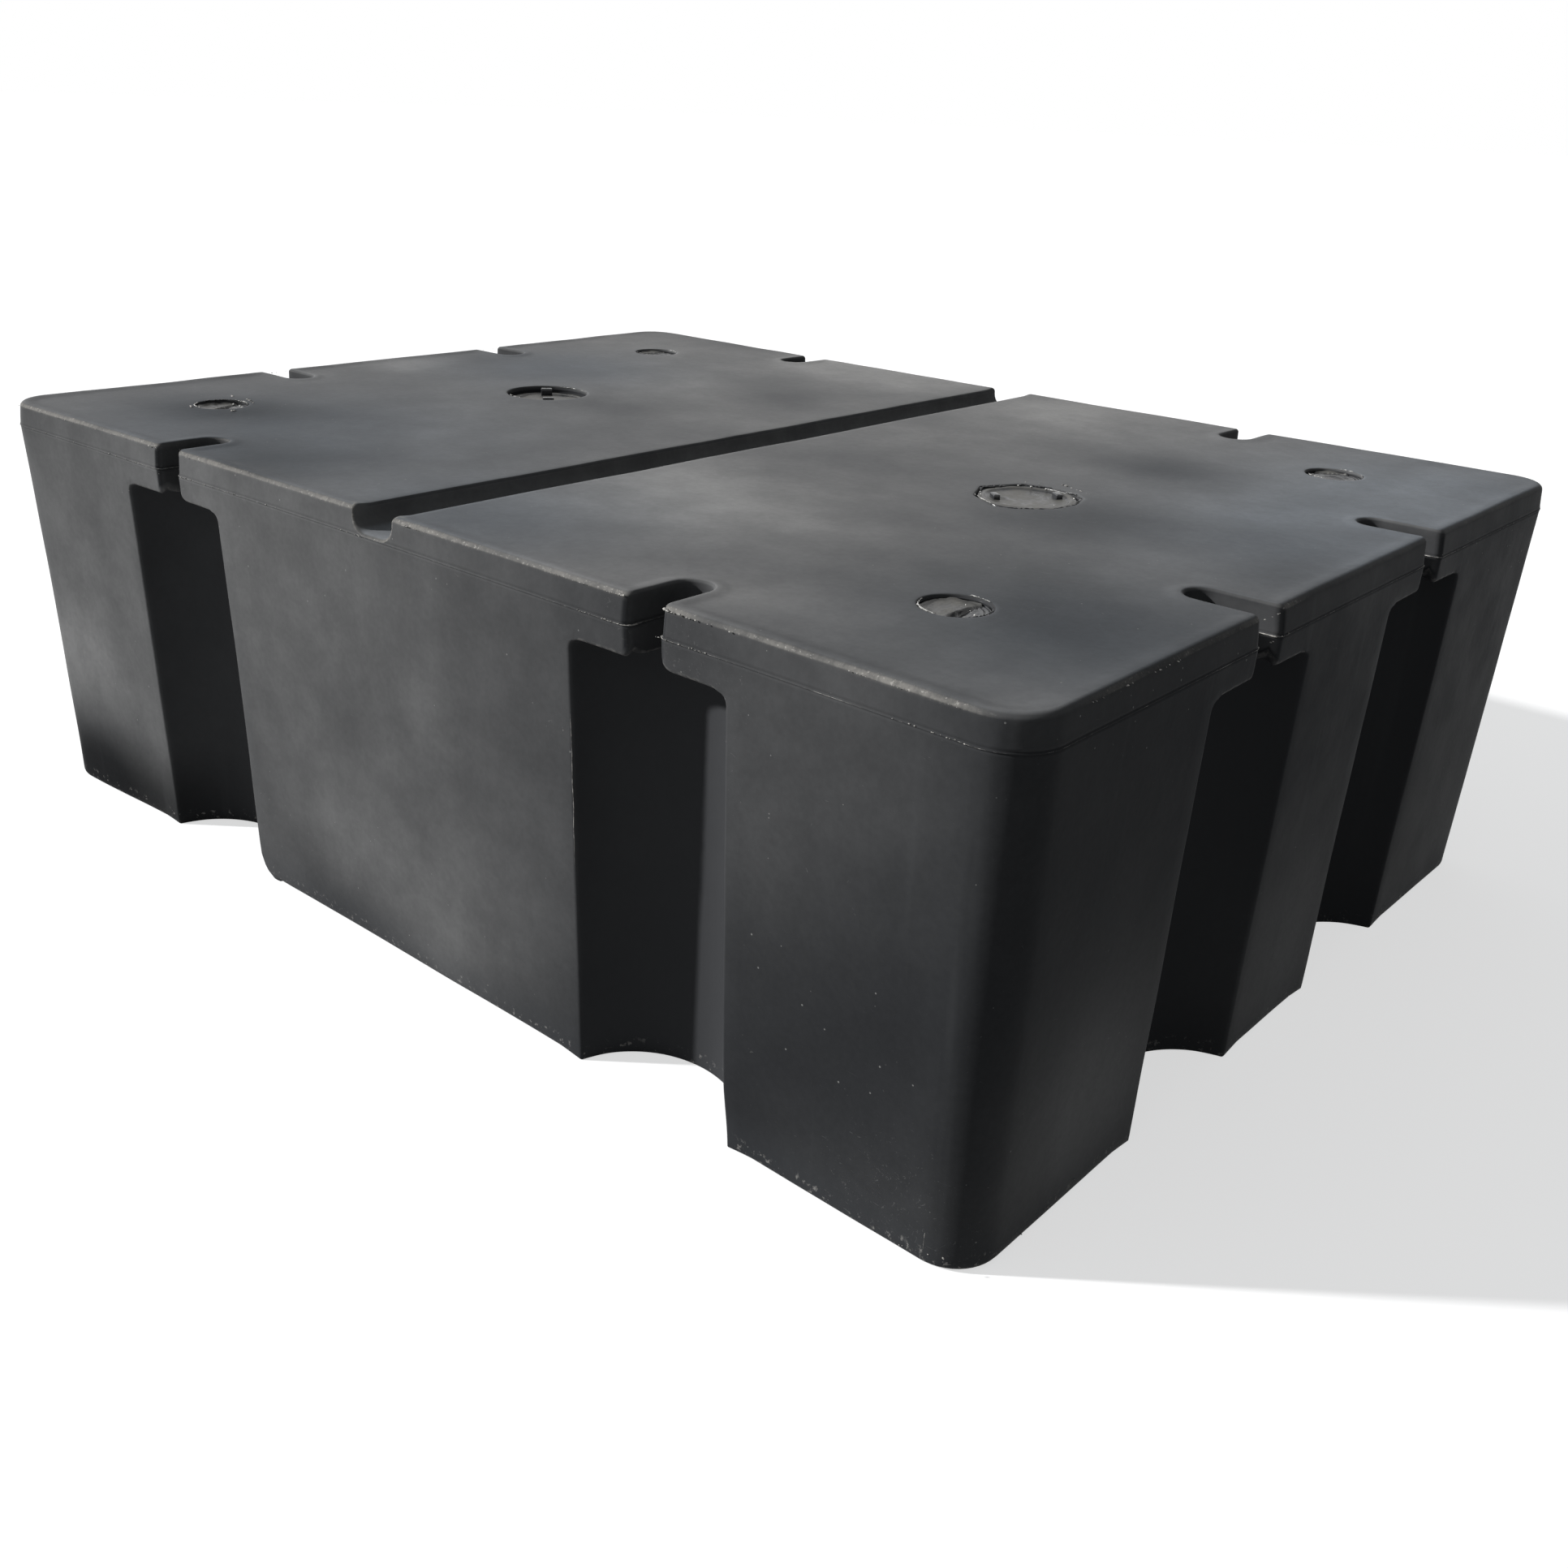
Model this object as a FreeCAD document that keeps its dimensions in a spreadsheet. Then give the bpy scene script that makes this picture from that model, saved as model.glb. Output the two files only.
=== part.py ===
"""Dock float drum: one moulded float with its two fill plugs and four vent plugs.

Millimetres. X runs along the float, Y across it, Z up, and the float stands on Z = 0.
The front is the long side at -Y. Every size is a cell of the sheet "Sizes".
"""
import os
import re

import FreeCAD
import Part
import Sketcher

Vector = FreeCAD.Vector
os.makedirs("parts", exist_ok=True)
doc = FreeCAD.newDocument("dock_float_drum")

# Driving dimensions
SIZES = {
    # Outside of the moulding, at the parting line
    "float_length": 1219,
    "float_width": 914,
    "float_height": 400,
    "corner_radius": 38,
    # Height of the band above the parting line, and how far each half of the mould draws in
    "upper_band": 24,
    "upper_draw": 2,
    "lower_draw": 10,
    "top_edge_radius": 5,
    "bottom_edge_radius": 6,
    # Bolt channels down the four sides, under the lip that the bolts go through
    "channel_radius": 75.5,
    "channel_flare": 3,
    "channel_outset": 8,
    "lip_thickness": 47,
    "channel_top_radius": 8,
    "long_side_pitch": 608,
    "short_side_pitch": 304,
    # Open bolt slots through the lip
    "slot_width": 31,
    "long_side_slot_reach": 63,
    "short_side_slot_reach": 68,
    "slot_edge_chamfer": 2,
    # Strap groove across the deck
    "groove_width": 48,
    "groove_depth": 21,
    "groove_floor_radius": 13,
    "groove_edge_chamfer": 2.5,
    # Fill plugs on the centre line, and vent plugs near the corners
    "fill_pitch": 620,
    "fill_plug_diameter": 85,
    "fill_plug_thickness": 16,
    "fill_recess": 8,
    "vent_end_inset": 157,
    "vent_side_inset": 150,
    "vent_plug_diameter": 51,
    "vent_plug_thickness": 12,
    "vent_recess": 5,
    "plug_chamfer": 1.5,
    "plug_side_gap": 0.5,
    "plug_seat_gap": 0.2,
    "well_edge_chamfer": 1.5,
    # How far each kind of plug has been screwed round, in degrees
    "fill_turn_left": -39,
    "fill_turn_right": 51,
    "vent_turn": -40,
    # Lugs on a fill plug that a spanner turns
    "lug_pitch": 56,
    "lug_width": 6,
    "lug_length": 12,
    "lug_height": 7,
    # Dish in the face of a vent plug
    "dish_diameter": 34,
    "dish_depth": 2.5,
    "dish_offset": 6,
    # How far a cut runs past the surface that it opens
    "overrun": 10,
}


def make_sheet():
    """Put every driving dimension in a cell of its own, under its alias."""
    book = doc.addObject("Spreadsheet::Sheet", "Sizes")
    for row, (alias, value) in enumerate(SIZES.items(), start=1):
        book.set(f"A{row}", alias)
        book.set(f"B{row}", str(value))
        book.setAlias(f"B{row}", alias)
    doc.recompute()
    return book


sheet = make_sheet()


def size(expression):
    """Value of an expression in the sheet's aliases, for a sketch's first geometry."""
    return float(sheet.evalExpression(expression))


def qualified(match):
    """The sheet's name before an alias, and any other word as it is."""
    word = match.group()
    return f"Sizes.{word}" if word in SIZES else word


def bind(item, target, expression):
    """Tie a property or a constraint to an expression in the sheet's aliases."""
    item.setExpression(target, re.sub(r"[a-z_]+", qualified, expression))


# Sketch helpers

def origin_item(body, role):
    """A plane or an axis of the body's own origin."""
    return next(item for item in body.Origin.OriginFeatures if item.Role == role)


def new_sketch(body, name, role="XY_Plane", lift=None):
    """An empty sketch on a plane of the body's origin, lifted by an expression."""
    sketch = body.newObject("Sketcher::SketchObject", name)
    sketch.AttachmentSupport = [(origin_item(body, role), "")]
    sketch.MapMode = "FlatFace"
    if lift:
        bind(sketch, "AttachmentOffset.Base.z", lift)
    return sketch


def hold(sketch, kind, geometry, point, expression):
    """Hold one point of a sketch at a signed distance from the origin, along X or Y."""
    value = size(expression)
    if abs(value) < 1e-9:
        axis = -2 if kind == "DistanceX" else -1
        sketch.addConstraint(Sketcher.Constraint("PointOnObject", geometry, point, axis))
        return
    ends = (-1, 1, geometry, point) if value > 0 else (geometry, point, -1, 1)
    number = sketch.addConstraint(Sketcher.Constraint(kind, *ends, abs(value)))
    bind(sketch, f"Constraints[{number}]", expression if value > 0 else f"0 - ({expression})")


def measure(sketch, kind, geometry, expression):
    """Give one curve of a sketch its radius or diameter."""
    number = sketch.addConstraint(Sketcher.Constraint(kind, geometry, size(expression)))
    bind(sketch, f"Constraints[{number}]", expression)


def add_circle(sketch, x, y, diameter):
    """A circle at an expressed place."""
    centre = Vector(size(x), size(y), 0)
    circle = sketch.addGeometry(Part.Circle(centre, Vector(0, 0, 1), size(diameter) / 2))
    hold(sketch, "DistanceX", circle, 3, x)
    hold(sketch, "DistanceY", circle, 3, y)
    measure(sketch, "Diameter", circle, diameter)


def add_polygon(sketch, points):
    """A closed outline of straight edges through expressed points."""
    corners = [Vector(size(x), size(y), 0) for x, y in points]
    count = len(corners)
    edges = [sketch.addGeometry(Part.LineSegment(corners[i], corners[(i + 1) % count])) for i in range(count)]
    for i, edge in enumerate(edges):
        sketch.addConstraint(Sketcher.Constraint("Coincident", edge, 2, edges[(i + 1) % count], 1))
        hold(sketch, "DistanceX", edge, 1, points[i][0])
        hold(sketch, "DistanceY", edge, 1, points[i][1])


def add_rounded_rectangle(sketch, length, width, radius):
    """A rectangle about the origin with four equal corner arcs."""
    half_x = size(length) / 2
    half_y = size(width) / 2
    round_off = size(radius)
    arcs = []
    for x_sign, y_sign, start in ((1, 1, 0), (-1, 1, 90), (-1, -1, 180), (1, -1, 270)):
        centre = Vector(x_sign * (half_x - round_off), y_sign * (half_y - round_off), 0)
        circle = Part.Circle(centre, Vector(0, 0, 1), round_off)
        first = FreeCAD.Units.Quantity(f"{start} deg").getValueAs("rad").Value
        last = FreeCAD.Units.Quantity(f"{start + 90} deg").getValueAs("rad").Value
        arcs.append(sketch.addGeometry(Part.ArcOfCircle(circle, first, last)))
        hold(sketch, "DistanceX", arcs[-1], 3, f"{x_sign} * (({length}) / 2 - {radius})")
        hold(sketch, "DistanceY", arcs[-1], 3, f"{y_sign} * (({width}) / 2 - {radius})")
    measure(sketch, "Radius", arcs[0], radius)
    for i, arc in enumerate(arcs):
        following = arcs[(i + 1) % 4]
        start = sketch.getPoint(arc, 2)
        end = sketch.getPoint(following, 1)
        side = sketch.addGeometry(Part.LineSegment(start, end))
        sketch.addConstraint(Sketcher.Constraint("Tangent", arc, 2, side, 1))
        sketch.addConstraint(Sketcher.Constraint("Tangent", side, 2, following, 1))


def checked(item):
    """Stop the build if a feature failed or left no sound shape."""
    doc.recompute()
    if "Invalid" in item.State or "Error" in item.State:
        raise RuntimeError(f"{item.Label} failed: {item.State}")
    if item.Shape.isNull() or not item.Shape.isValid():
        raise RuntimeError(f"{item.Label} has no valid shape")
    return item


def add_pocket(body, name, sketch, depth, both_ways=False, taper=None, reverse=False):
    """Cut a sketch into the body to an expressed depth."""
    pocket = body.newObject("PartDesign::Pocket", name)
    pocket.Profile = sketch
    pocket.SideType = "Symmetric" if both_ways else "One side"
    pocket.Reversed = reverse
    bind(pocket, "Length", depth)
    if taper:
        bind(pocket, "TaperAngle", taper)
    sketch.Visibility = False
    return checked(pocket)


def picked_edges(body, chosen):
    """The body's tip and the names of its edges that a test picks out."""
    names = [f"Edge{i}" for i, edge in enumerate(body.Tip.Shape.Edges, start=1) if chosen(edge)]
    if not names:
        raise RuntimeError(f"no edges to finish on {body.Tip.Label}")
    return (body.Tip, names)


def add_fillet(body, name, chosen, radius):
    """Round the edges that a test picks out."""
    base = picked_edges(body, chosen)
    fillet = body.newObject("PartDesign::Fillet", name)
    fillet.Base = base
    bind(fillet, "Radius", radius)
    return checked(fillet)


def add_chamfer(body, name, chosen, width):
    """Break the edges that a test picks out."""
    base = picked_edges(body, chosen)
    chamfer = body.newObject("PartDesign::Chamfer", name)
    chamfer.Base = base
    bind(chamfer, "Size", width)
    return checked(chamfer)


def flat_at(edge, height, tolerance=0.01):
    """True if the whole edge lies at one height."""
    box = edge.BoundBox
    return abs(box.ZMin - height) < tolerance and abs(box.ZMax - height) < tolerance


# The moulded float

def channel_places():
    """Middle of each bolt channel and the way it faces, as expressions and signs."""
    outset_y = "(float_width / 2 + channel_outset)"
    outset_x = "(float_length / 2 + channel_outset)"
    places = []
    for side in (-1, 1):
        for step in (-1, 1):
            places.append((f"{step} * long_side_pitch / 2", f"{side} * {outset_y}"))
            places.append((f"{side} * {outset_x}", f"{step} * short_side_pitch / 2"))
    return places


def add_slot_outlines(sketch):
    """Eight open slots, each running in from its side to a half-round end."""
    half = "slot_width / 2"
    for side in (-1, 1):
        for step in (-1, 1):
            across = f"{step} * long_side_pitch / 2"
            mouth = f"{side} * (float_width / 2 + overrun)"
            centre = f"{side} * (float_width / 2 - long_side_slot_reach + {half})"
            add_open_slot(sketch, "Y", across, mouth, centre, half)
            across = f"{step} * short_side_pitch / 2"
            mouth = f"{side} * (float_length / 2 + overrun)"
            centre = f"{side} * (float_length / 2 - short_side_slot_reach + {half})"
            add_open_slot(sketch, "X", across, mouth, centre, half)


def add_open_slot(sketch, way, across, mouth, centre, half):
    """One slot that runs along X or Y from its mouth to an arc about its centre."""
    low = f"({across}) - {half}"
    high = f"({across}) + {half}"

    def place(along, beside):
        return (along, beside) if way == "X" else (beside, along)

    def point(along, beside):
        x, y = place(along, beside)
        return Vector(size(x), size(y), 0)

    inward = -1 if size(mouth) > 0 else 1
    tip = point(f"({centre}) + {inward} * {half}", across)
    arc = sketch.addGeometry(Part.Arc(point(centre, low), tip, point(centre, high)))
    x, y = place(centre, across)
    hold(sketch, "DistanceX", arc, 3, x)
    hold(sketch, "DistanceY", arc, 3, y)
    measure(sketch, "Radius", arc, half)
    ends = {}
    for number in (1, 2):
        end = sketch.getPoint(arc, number)
        beside = low if (end - point(centre, low)).Length < 1e-6 else high
        line = sketch.addGeometry(Part.LineSegment(end, point(mouth, beside)))
        sketch.addConstraint(Sketcher.Constraint("Tangent", arc, number, line, 1))
        hold(sketch, "DistanceX" if way == "X" else "DistanceY", line, 2, mouth)
        ends[number] = line
    close = sketch.addGeometry(Part.LineSegment(sketch.getPoint(ends[1], 2), sketch.getPoint(ends[2], 2)))
    sketch.addConstraint(Sketcher.Constraint("Coincident", close, 1, ends[1], 2))
    sketch.addConstraint(Sketcher.Constraint("Coincident", close, 2, ends[2], 2))


def add_groove_outline(sketch):
    """The strap groove's section: open at the deck, with a rounded floor."""
    floor = "float_height - groove_depth"
    over = "float_height + overrun"
    centre_x = "(groove_width / 2 - groove_floor_radius)"
    centre_y = f"{floor} + groove_floor_radius"
    arcs = []
    for sign, first, last in ((1, 270, 360), (-1, 180, 270)):
        centre = Vector(sign * size(centre_x), size(centre_y), 0)
        circle = Part.Circle(centre, Vector(0, 0, 1), size("groove_floor_radius"))
        angles = [FreeCAD.Units.Quantity(f"{a} deg").getValueAs("rad").Value for a in (first, last)]
        arcs.append(sketch.addGeometry(Part.ArcOfCircle(circle, *angles)))
        hold(sketch, "DistanceX", arcs[-1], 3, f"{sign} * {centre_x}")
        hold(sketch, "DistanceY", arcs[-1], 3, centre_y)
        measure(sketch, "Radius", arcs[-1], "groove_floor_radius")
    right, left = arcs
    floor_line = sketch.addGeometry(Part.LineSegment(sketch.getPoint(left, 2), sketch.getPoint(right, 1)))
    sketch.addConstraint(Sketcher.Constraint("Tangent", left, 2, floor_line, 1))
    sketch.addConstraint(Sketcher.Constraint("Tangent", floor_line, 2, right, 1))
    walls = []
    for arc, number in ((right, 2), (left, 1)):
        foot = sketch.getPoint(arc, number)
        wall = sketch.addGeometry(Part.LineSegment(foot, Vector(foot.x, size(over), 0)))
        sketch.addConstraint(Sketcher.Constraint("Tangent", arc, number, wall, 1))
        hold(sketch, "DistanceY", wall, 2, over)
        walls.append(wall)
    lid = sketch.addGeometry(Part.LineSegment(sketch.getPoint(walls[0], 2), sketch.getPoint(walls[1], 2)))
    sketch.addConstraint(Sketcher.Constraint("Coincident", lid, 1, walls[0], 2))
    sketch.addConstraint(Sketcher.Constraint("Coincident", lid, 2, walls[1], 2))


def fill_places():
    """The two fill plugs: name, X and Y."""
    return [("left", "-1 * fill_pitch / 2", "0"), ("right", "fill_pitch / 2", "0")]


def vent_places():
    """The four vent plugs: name, X and Y."""
    places = []
    for y_name, y_sign in (("front", -1), ("back", 1)):
        for x_name, x_sign in (("left", -1), ("right", 1)):
            x = f"{x_sign} * (float_length / 2 - vent_end_inset)"
            y = f"{y_sign} * (float_width / 2 - vent_side_inset)"
            places.append((f"{y_name}_{x_name}", x, y))
    return places


def make_float_body():
    """The moulded float, one piece: drafted block, channels, slots, groove and plug wells."""
    body = doc.addObject("PartDesign::Body", "float_body")
    body.Label = "float_body"
    parting = "float_height - upper_band"

    outline = new_sketch(body, "PartingOutline", lift=parting)
    add_rounded_rectangle(outline, "float_length", "float_width", "corner_radius")
    for name, draw, lift in (("Foot", "lower_draw", None), ("Deck", "upper_draw", "float_height")):
        end = new_sketch(body, f"{name}Outline", lift=lift)
        add_rounded_rectangle(end, f"float_length - 2 * {draw}", f"float_width - 2 * {draw}", "corner_radius")
        loft = body.newObject("PartDesign::AdditiveLoft", f"{name}Half")
        loft.Profile = outline
        loft.Sections = [end]
        loft.Ruled = True
        checked(loft)

    deck = size("float_height")
    add_fillet(body, "DeckEdge", lambda edge: flat_at(edge, deck), "top_edge_radius")
    add_fillet(body, "FootEdge", lambda edge: flat_at(edge, 0), "bottom_edge_radius")

    ceiling = "float_height - lip_thickness"
    channels = new_sketch(body, "ChannelOutlines", lift=ceiling)
    for x, y in channel_places():
        add_circle(channels, x, y, "2 * channel_radius")
    add_pocket(body, "Channels", channels, f"{ceiling} + overrun", taper=f"atan(channel_flare / ({ceiling}))")

    roof = size(ceiling)
    add_fillet(body, "ChannelTops", lambda edge: flat_at(edge, roof) and is_arc(edge), "channel_top_radius")

    slots = new_sketch(body, "SlotOutlines", lift="float_height")
    add_slot_outlines(slots)
    add_pocket(body, "Slots", slots, "lip_thickness + channel_top_radius")
    add_chamfer(body, "SlotEdges", lambda edge: flat_at(edge, deck) and in_slot(edge), "slot_edge_chamfer")

    groove = new_sketch(body, "GrooveOutline", role="XZ_Plane")
    add_groove_outline(groove)
    add_pocket(body, "Groove", groove, "float_width + overrun", both_ways=True)
    add_chamfer(
        body, "GrooveEdges", lambda edge: flat_at(edge, deck) and in_groove(edge), "groove_edge_chamfer"
    )

    for kind, places in (("fill", fill_places()), ("vent", vent_places())):
        wells = new_sketch(body, f"{kind.title()}Wells", lift="float_height")
        for name, x, y in places:
            add_circle(wells, x, y, f"{kind}_plug_diameter + 2 * plug_side_gap")
        depth = f"{kind}_recess + {kind}_plug_thickness + plug_seat_gap"
        add_pocket(body, f"{kind.title()}WellCuts", wells, depth)
    add_chamfer(body, "WellEdges", lambda edge: flat_at(edge, deck) and is_ring(edge), "well_edge_chamfer")
    return body


def is_arc(edge):
    """True for an edge of part or all of a circle."""
    return edge.Curve.TypeId == "Part::GeomCircle"


def is_ring(edge):
    """True for an edge that is a whole circle."""
    return is_arc(edge) and edge.isClosed()


def strays(low, high, expression):
    """How far a span reaches from an expressed place, on either side of the middle."""
    place = size(expression)
    return max(abs(abs(low) - place), abs(abs(high) - place))


def in_slot(edge):
    """True for an edge of a bolt slot, which lies wholly inside the slot's reach."""
    box = edge.BoundBox
    half_width = size("slot_width") / 2 + 1
    in_long_side = (
        min(abs(box.YMin), abs(box.YMax)) > size("float_width / 2 - long_side_slot_reach") - 1
        and strays(box.XMin, box.XMax, "long_side_pitch / 2") < half_width
    )
    in_short_side = (
        min(abs(box.XMin), abs(box.XMax)) > size("float_length / 2 - short_side_slot_reach") - 1
        and strays(box.YMin, box.YMax, "short_side_pitch / 2") < half_width
    )
    return in_long_side or in_short_side


def in_groove(edge):
    """True for one of the groove's two long edges."""
    box = edge.BoundBox
    return max(abs(box.XMin), abs(box.XMax)) < size("groove_width") / 2 + 1


# Plugs

def add_ring_profile(sketch, radius, height, chamfer):
    """Half the section of a disc with a chamfered top edge, to turn about the Z axis."""
    points = [
        ("0", "0"),
        (radius, "0"),
        (radius, f"{height} - {chamfer}"),
        (f"{radius} - {chamfer}", height),
        ("0", height),
    ]
    add_polygon(sketch, points)


def make_disc(label, kind, x, y, turn):
    """A turned plug of the fill or the vent kind, seated and screwed round in its well."""
    thickness = f"{kind}_plug_thickness"
    body = doc.addObject("PartDesign::Body", label)
    body.Label = label
    profile = new_sketch(body, f"{label}_profile", role="XZ_Plane")
    add_ring_profile(profile, f"{kind}_plug_diameter / 2", thickness, "plug_chamfer")
    turned = body.newObject("PartDesign::Revolution", f"{label}_disc")
    turned.Profile = profile
    turned.ReferenceAxis = (origin_item(body, "Z_Axis"), [""])
    checked(turned)
    bind(body, "Placement.Rotation.Angle", turn)
    bind(body, "Placement.Base.x", x)
    bind(body, "Placement.Base.y", y)
    bind(body, "Placement.Base.z", f"float_height - {kind}_recess - {thickness}")
    return body


def make_fill_plug(name, x, y):
    """A fill plug: a disc with two upright lugs for a spanner."""
    body = make_disc(f"fill_plug_{name}", "fill", x, y, f"fill_turn_{name}")
    lugs = new_sketch(body, f"fill_plug_{name}_lug_outline", lift="fill_plug_thickness")
    for side in (-1, 1):
        low_x = f"{side} * lug_pitch / 2 - lug_width / 2"
        high_x = f"{side} * lug_pitch / 2 + lug_width / 2"
        low_y = "-1 * lug_length / 2"
        high_y = "lug_length / 2"
        add_polygon(lugs, [(low_x, low_y), (high_x, low_y), (high_x, high_y), (low_x, high_y)])
    pad = body.newObject("PartDesign::Pad", f"fill_plug_{name}_lugs")
    pad.Profile = lugs
    bind(pad, "Length", "lug_height")
    checked(pad)
    return body


def make_vent_plug(name, x, y):
    """A vent plug: a disc with an off-centre dish in its face."""
    body = make_disc(f"vent_plug_{name}", "vent", x, y, "vent_turn")
    dish = new_sketch(body, f"vent_plug_{name}_dish_outline", lift="vent_plug_thickness")
    add_circle(dish, "dish_offset", "0", "dish_diameter")
    add_pocket(body, f"vent_plug_{name}_dish", dish, "dish_depth")
    return body


def write_steps(pieces):
    """Write each piece to a file named after its label."""
    doc.recompute()
    for piece in pieces:
        checked(piece)
        if len(piece.Shape.Solids) != 1:
            raise RuntimeError(f"{piece.Label} is not one solid")
        piece.Shape.exportStep(f"parts/{piece.Label}.step")
        print(piece.Label, round(piece.Shape.Volume / 1000), "cm3")


def main():
    """Build every piece and write it."""
    pieces = [make_float_body()]
    pieces += [make_fill_plug(*place) for place in fill_places()]
    pieces += [make_vent_plug(*place) for place in vent_places()]
    write_steps(pieces)


if __name__ == "__main__":
    main()
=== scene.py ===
"""Dock float drum: one moulded float with its two fill plugs and four vent plugs.

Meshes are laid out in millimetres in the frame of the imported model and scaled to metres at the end.
X runs along the float, Y across it, Z up. The front is the long side at -Y.
"""

import logging
import math
import random
from collections.abc import Callable, Sequence
from dataclasses import dataclass, field
from enum import Enum
from itertools import product

import bpy
import numpy as np
from mathutils import Matrix, Vector, noise
from mathutils.geometry import delaunay_2d_cdt


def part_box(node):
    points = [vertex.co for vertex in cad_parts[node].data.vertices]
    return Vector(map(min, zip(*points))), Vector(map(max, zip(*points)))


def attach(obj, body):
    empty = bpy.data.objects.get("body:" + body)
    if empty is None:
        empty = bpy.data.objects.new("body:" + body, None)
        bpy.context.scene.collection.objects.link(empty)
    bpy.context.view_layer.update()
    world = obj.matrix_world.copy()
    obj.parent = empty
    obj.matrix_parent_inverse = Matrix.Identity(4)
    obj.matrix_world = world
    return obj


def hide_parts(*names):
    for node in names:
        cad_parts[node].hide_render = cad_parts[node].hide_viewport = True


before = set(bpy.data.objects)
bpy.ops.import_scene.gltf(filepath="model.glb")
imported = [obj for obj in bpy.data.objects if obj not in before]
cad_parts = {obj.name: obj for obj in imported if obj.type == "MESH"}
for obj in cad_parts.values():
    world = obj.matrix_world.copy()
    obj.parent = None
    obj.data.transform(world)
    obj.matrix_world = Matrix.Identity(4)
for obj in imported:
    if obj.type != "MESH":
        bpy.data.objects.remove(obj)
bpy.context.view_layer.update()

LOG = logging.getLogger("dock_float_drum")
MM = 0.001
FLOAT_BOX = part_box("float_body")
DECK_HEIGHT = FLOAT_BOX[1].z / MM
SEED = 7

Masks = dict[str, float]
Socket = bpy.types.NodeSocket
Colour = tuple[float, float, float]


class Mask(Enum):
    """Where on the float a vertex is, for the finish to read."""

    RIM = "rim"
    LIP = "lip"
    SEAM = "seam"
    # Painted shade in channels, slots, wells, gaps and other hollows
    NOOK = "nook"
    # Dust and haze, lighter in places as painted sheen
    HAZE = "haze"
    FOOT = "foot"
    MELT = "melt"
    SCUFF = "scuff"
    # Darker towards the foot at the left of the front
    STAIN = "stain"
    # Painted bluish sheen of the sky on the deck
    COOL = "cool"


# Dried haze on the deck, with painted sheen of the sky where it is lighter: X, Y and reach in millimetres,
# then strength, less than 0 where it is clean
DECK_HAZE_AND_SHEEN = (
    (-220, 420, 90, 0.75), (-80, 425, 80, 0.45), (110, 425, 90, 0.4), (360, 430, 100, 0.15),
    (520, 420, 90, 0.25), (440, 250, 95, 0.2), (170, -245, 100, 0.32), (60, -165, 60, 0.25),
    (320, -400, 50, 0.15), (-430, 330, 55, 0.15), (-405, -300, 95, -0.32), (-480, -335, 65, -0.25),
    (-220, -415, 110, -0.38), (340, 200, 75, -0.3), (400, -40, 80, -0.3), (-150, 190, 70, -0.18),
    (-210, 10, 60, -0.18), (560, -290, 120, -0.35), (450, -230, 80, -0.15), (570, -50, 60, -0.2),
    (120, -380, 90, -0.18), (-566, 0, 45, 0.4), (-560, -150, 40, 0.3), (-540, 200, 60, 0.1),
)

# Where the deck shows a painted bluish sheen of the sky: X, Y and reach in millimetres, then strength
SKY_SHEEN_PATCHES = (
    (560, 60, 170, 1.0), (560, 330, 200, 1.0), (-440, 120, 130, 0.9), (-300, -340, 230, 0.9),
    (60, -400, 130, 0.8), (560, -300, 120, 0.7),
)

# Haze on the walls, with painted sheen where they are seen at a grazing angle: X, Y, Z and reach, then
# strength
WALL_HAZE_AND_SHEEN = (
    (-480, -457, 220, 300, 0.66), (-30, -457, 240, 270, 0.5), (210, -457, 230, 120, 0.2),
    (-300, -457, 395, 160, 0.1), (0, -457, 395, 160, 0.12), (450, -457, 410, 120, 0.4),
    (410, -457, 250, 60, 0.1), (-540, -457, 145, 60, 0.5), (-520, -457, 10, 80, -0.6),
    (-180, -457, 120, 80, -0.12), (-110, -457, 10, 70, -0.15), (-75, -457, 75, 70, 0.25),
    (70, -457, 60, 75, 0.3), (170, -457, 250, 90, -0.13), (-75, -457, 20, 60, -0.1),
    (500, -457, 5, 90, 0.1), (609, -300, 50, 110, 1.0), (609, 0, 40, 120, 0.9),
    (609, 420, 60, 150, 0.8), (540, -457, 60, 90, -0.12),
)

# Places that have been scraped: X, Y, Z and reach in millimetres, then strength
SCUFF_PATCHES = (
    (-450, -300, 400, 100, 0.55), (60, -430, 400, 60, 0.7), (330, 10, 400, 110, 0.7),
    (460, -250, 400, 120, 0.6), (-150, -200, 400, 200, 0.5), (330, -457, 340, 90, 0.8),
    (-330, -457, 350, 80, 0.7), (540, -440, 30, 90, 0.8), (-100, -457, 60, 160, 0.5),
    (-560, -160, 400, 40, 1.0), (-555, 165, 400, 40, 0.9),
)

# How worn the deck edge is: X, Y and reach in millimetres, then strength
RIM_WEAR = (
    (525, -457, 50, 0.75), (440, -457, 60, 0.3), (330, -457, 30, 0.5), (150, -457, 100, 0.3),
    (50, -457, 45, 0.55), (595, -440, 30, -0.4), (255, -457, 45, 0.4), (-60, -457, 60, 0.5),
    (-230, -457, 80, 0.7), (-300, -398, 14, 1.0), (-360, -457, 60, 0.5), (-570, -457, 70, 0.6),
    (-470, -457, 60, 0.45), (609, -330, 80, 0.2), (609, -150, 40, 0.5), (-609, -150, 30, 0.7),
    (-609, 150, 30, 0.6),
)

# Where painted shade darkens a band of the deck beside its edge: X, Y and reach in millimetres, then
# strength
PAINTED_CREASE_SHADE = (
    (430, -457, 130, 1.0), (-330, -457, 90, 0.6), (60, -457, 70, 0.5), (609, -330, 130, 0.6),
    (-560, -457, 90, 0.4), (586, -434, 45, 1.0),
)
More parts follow.
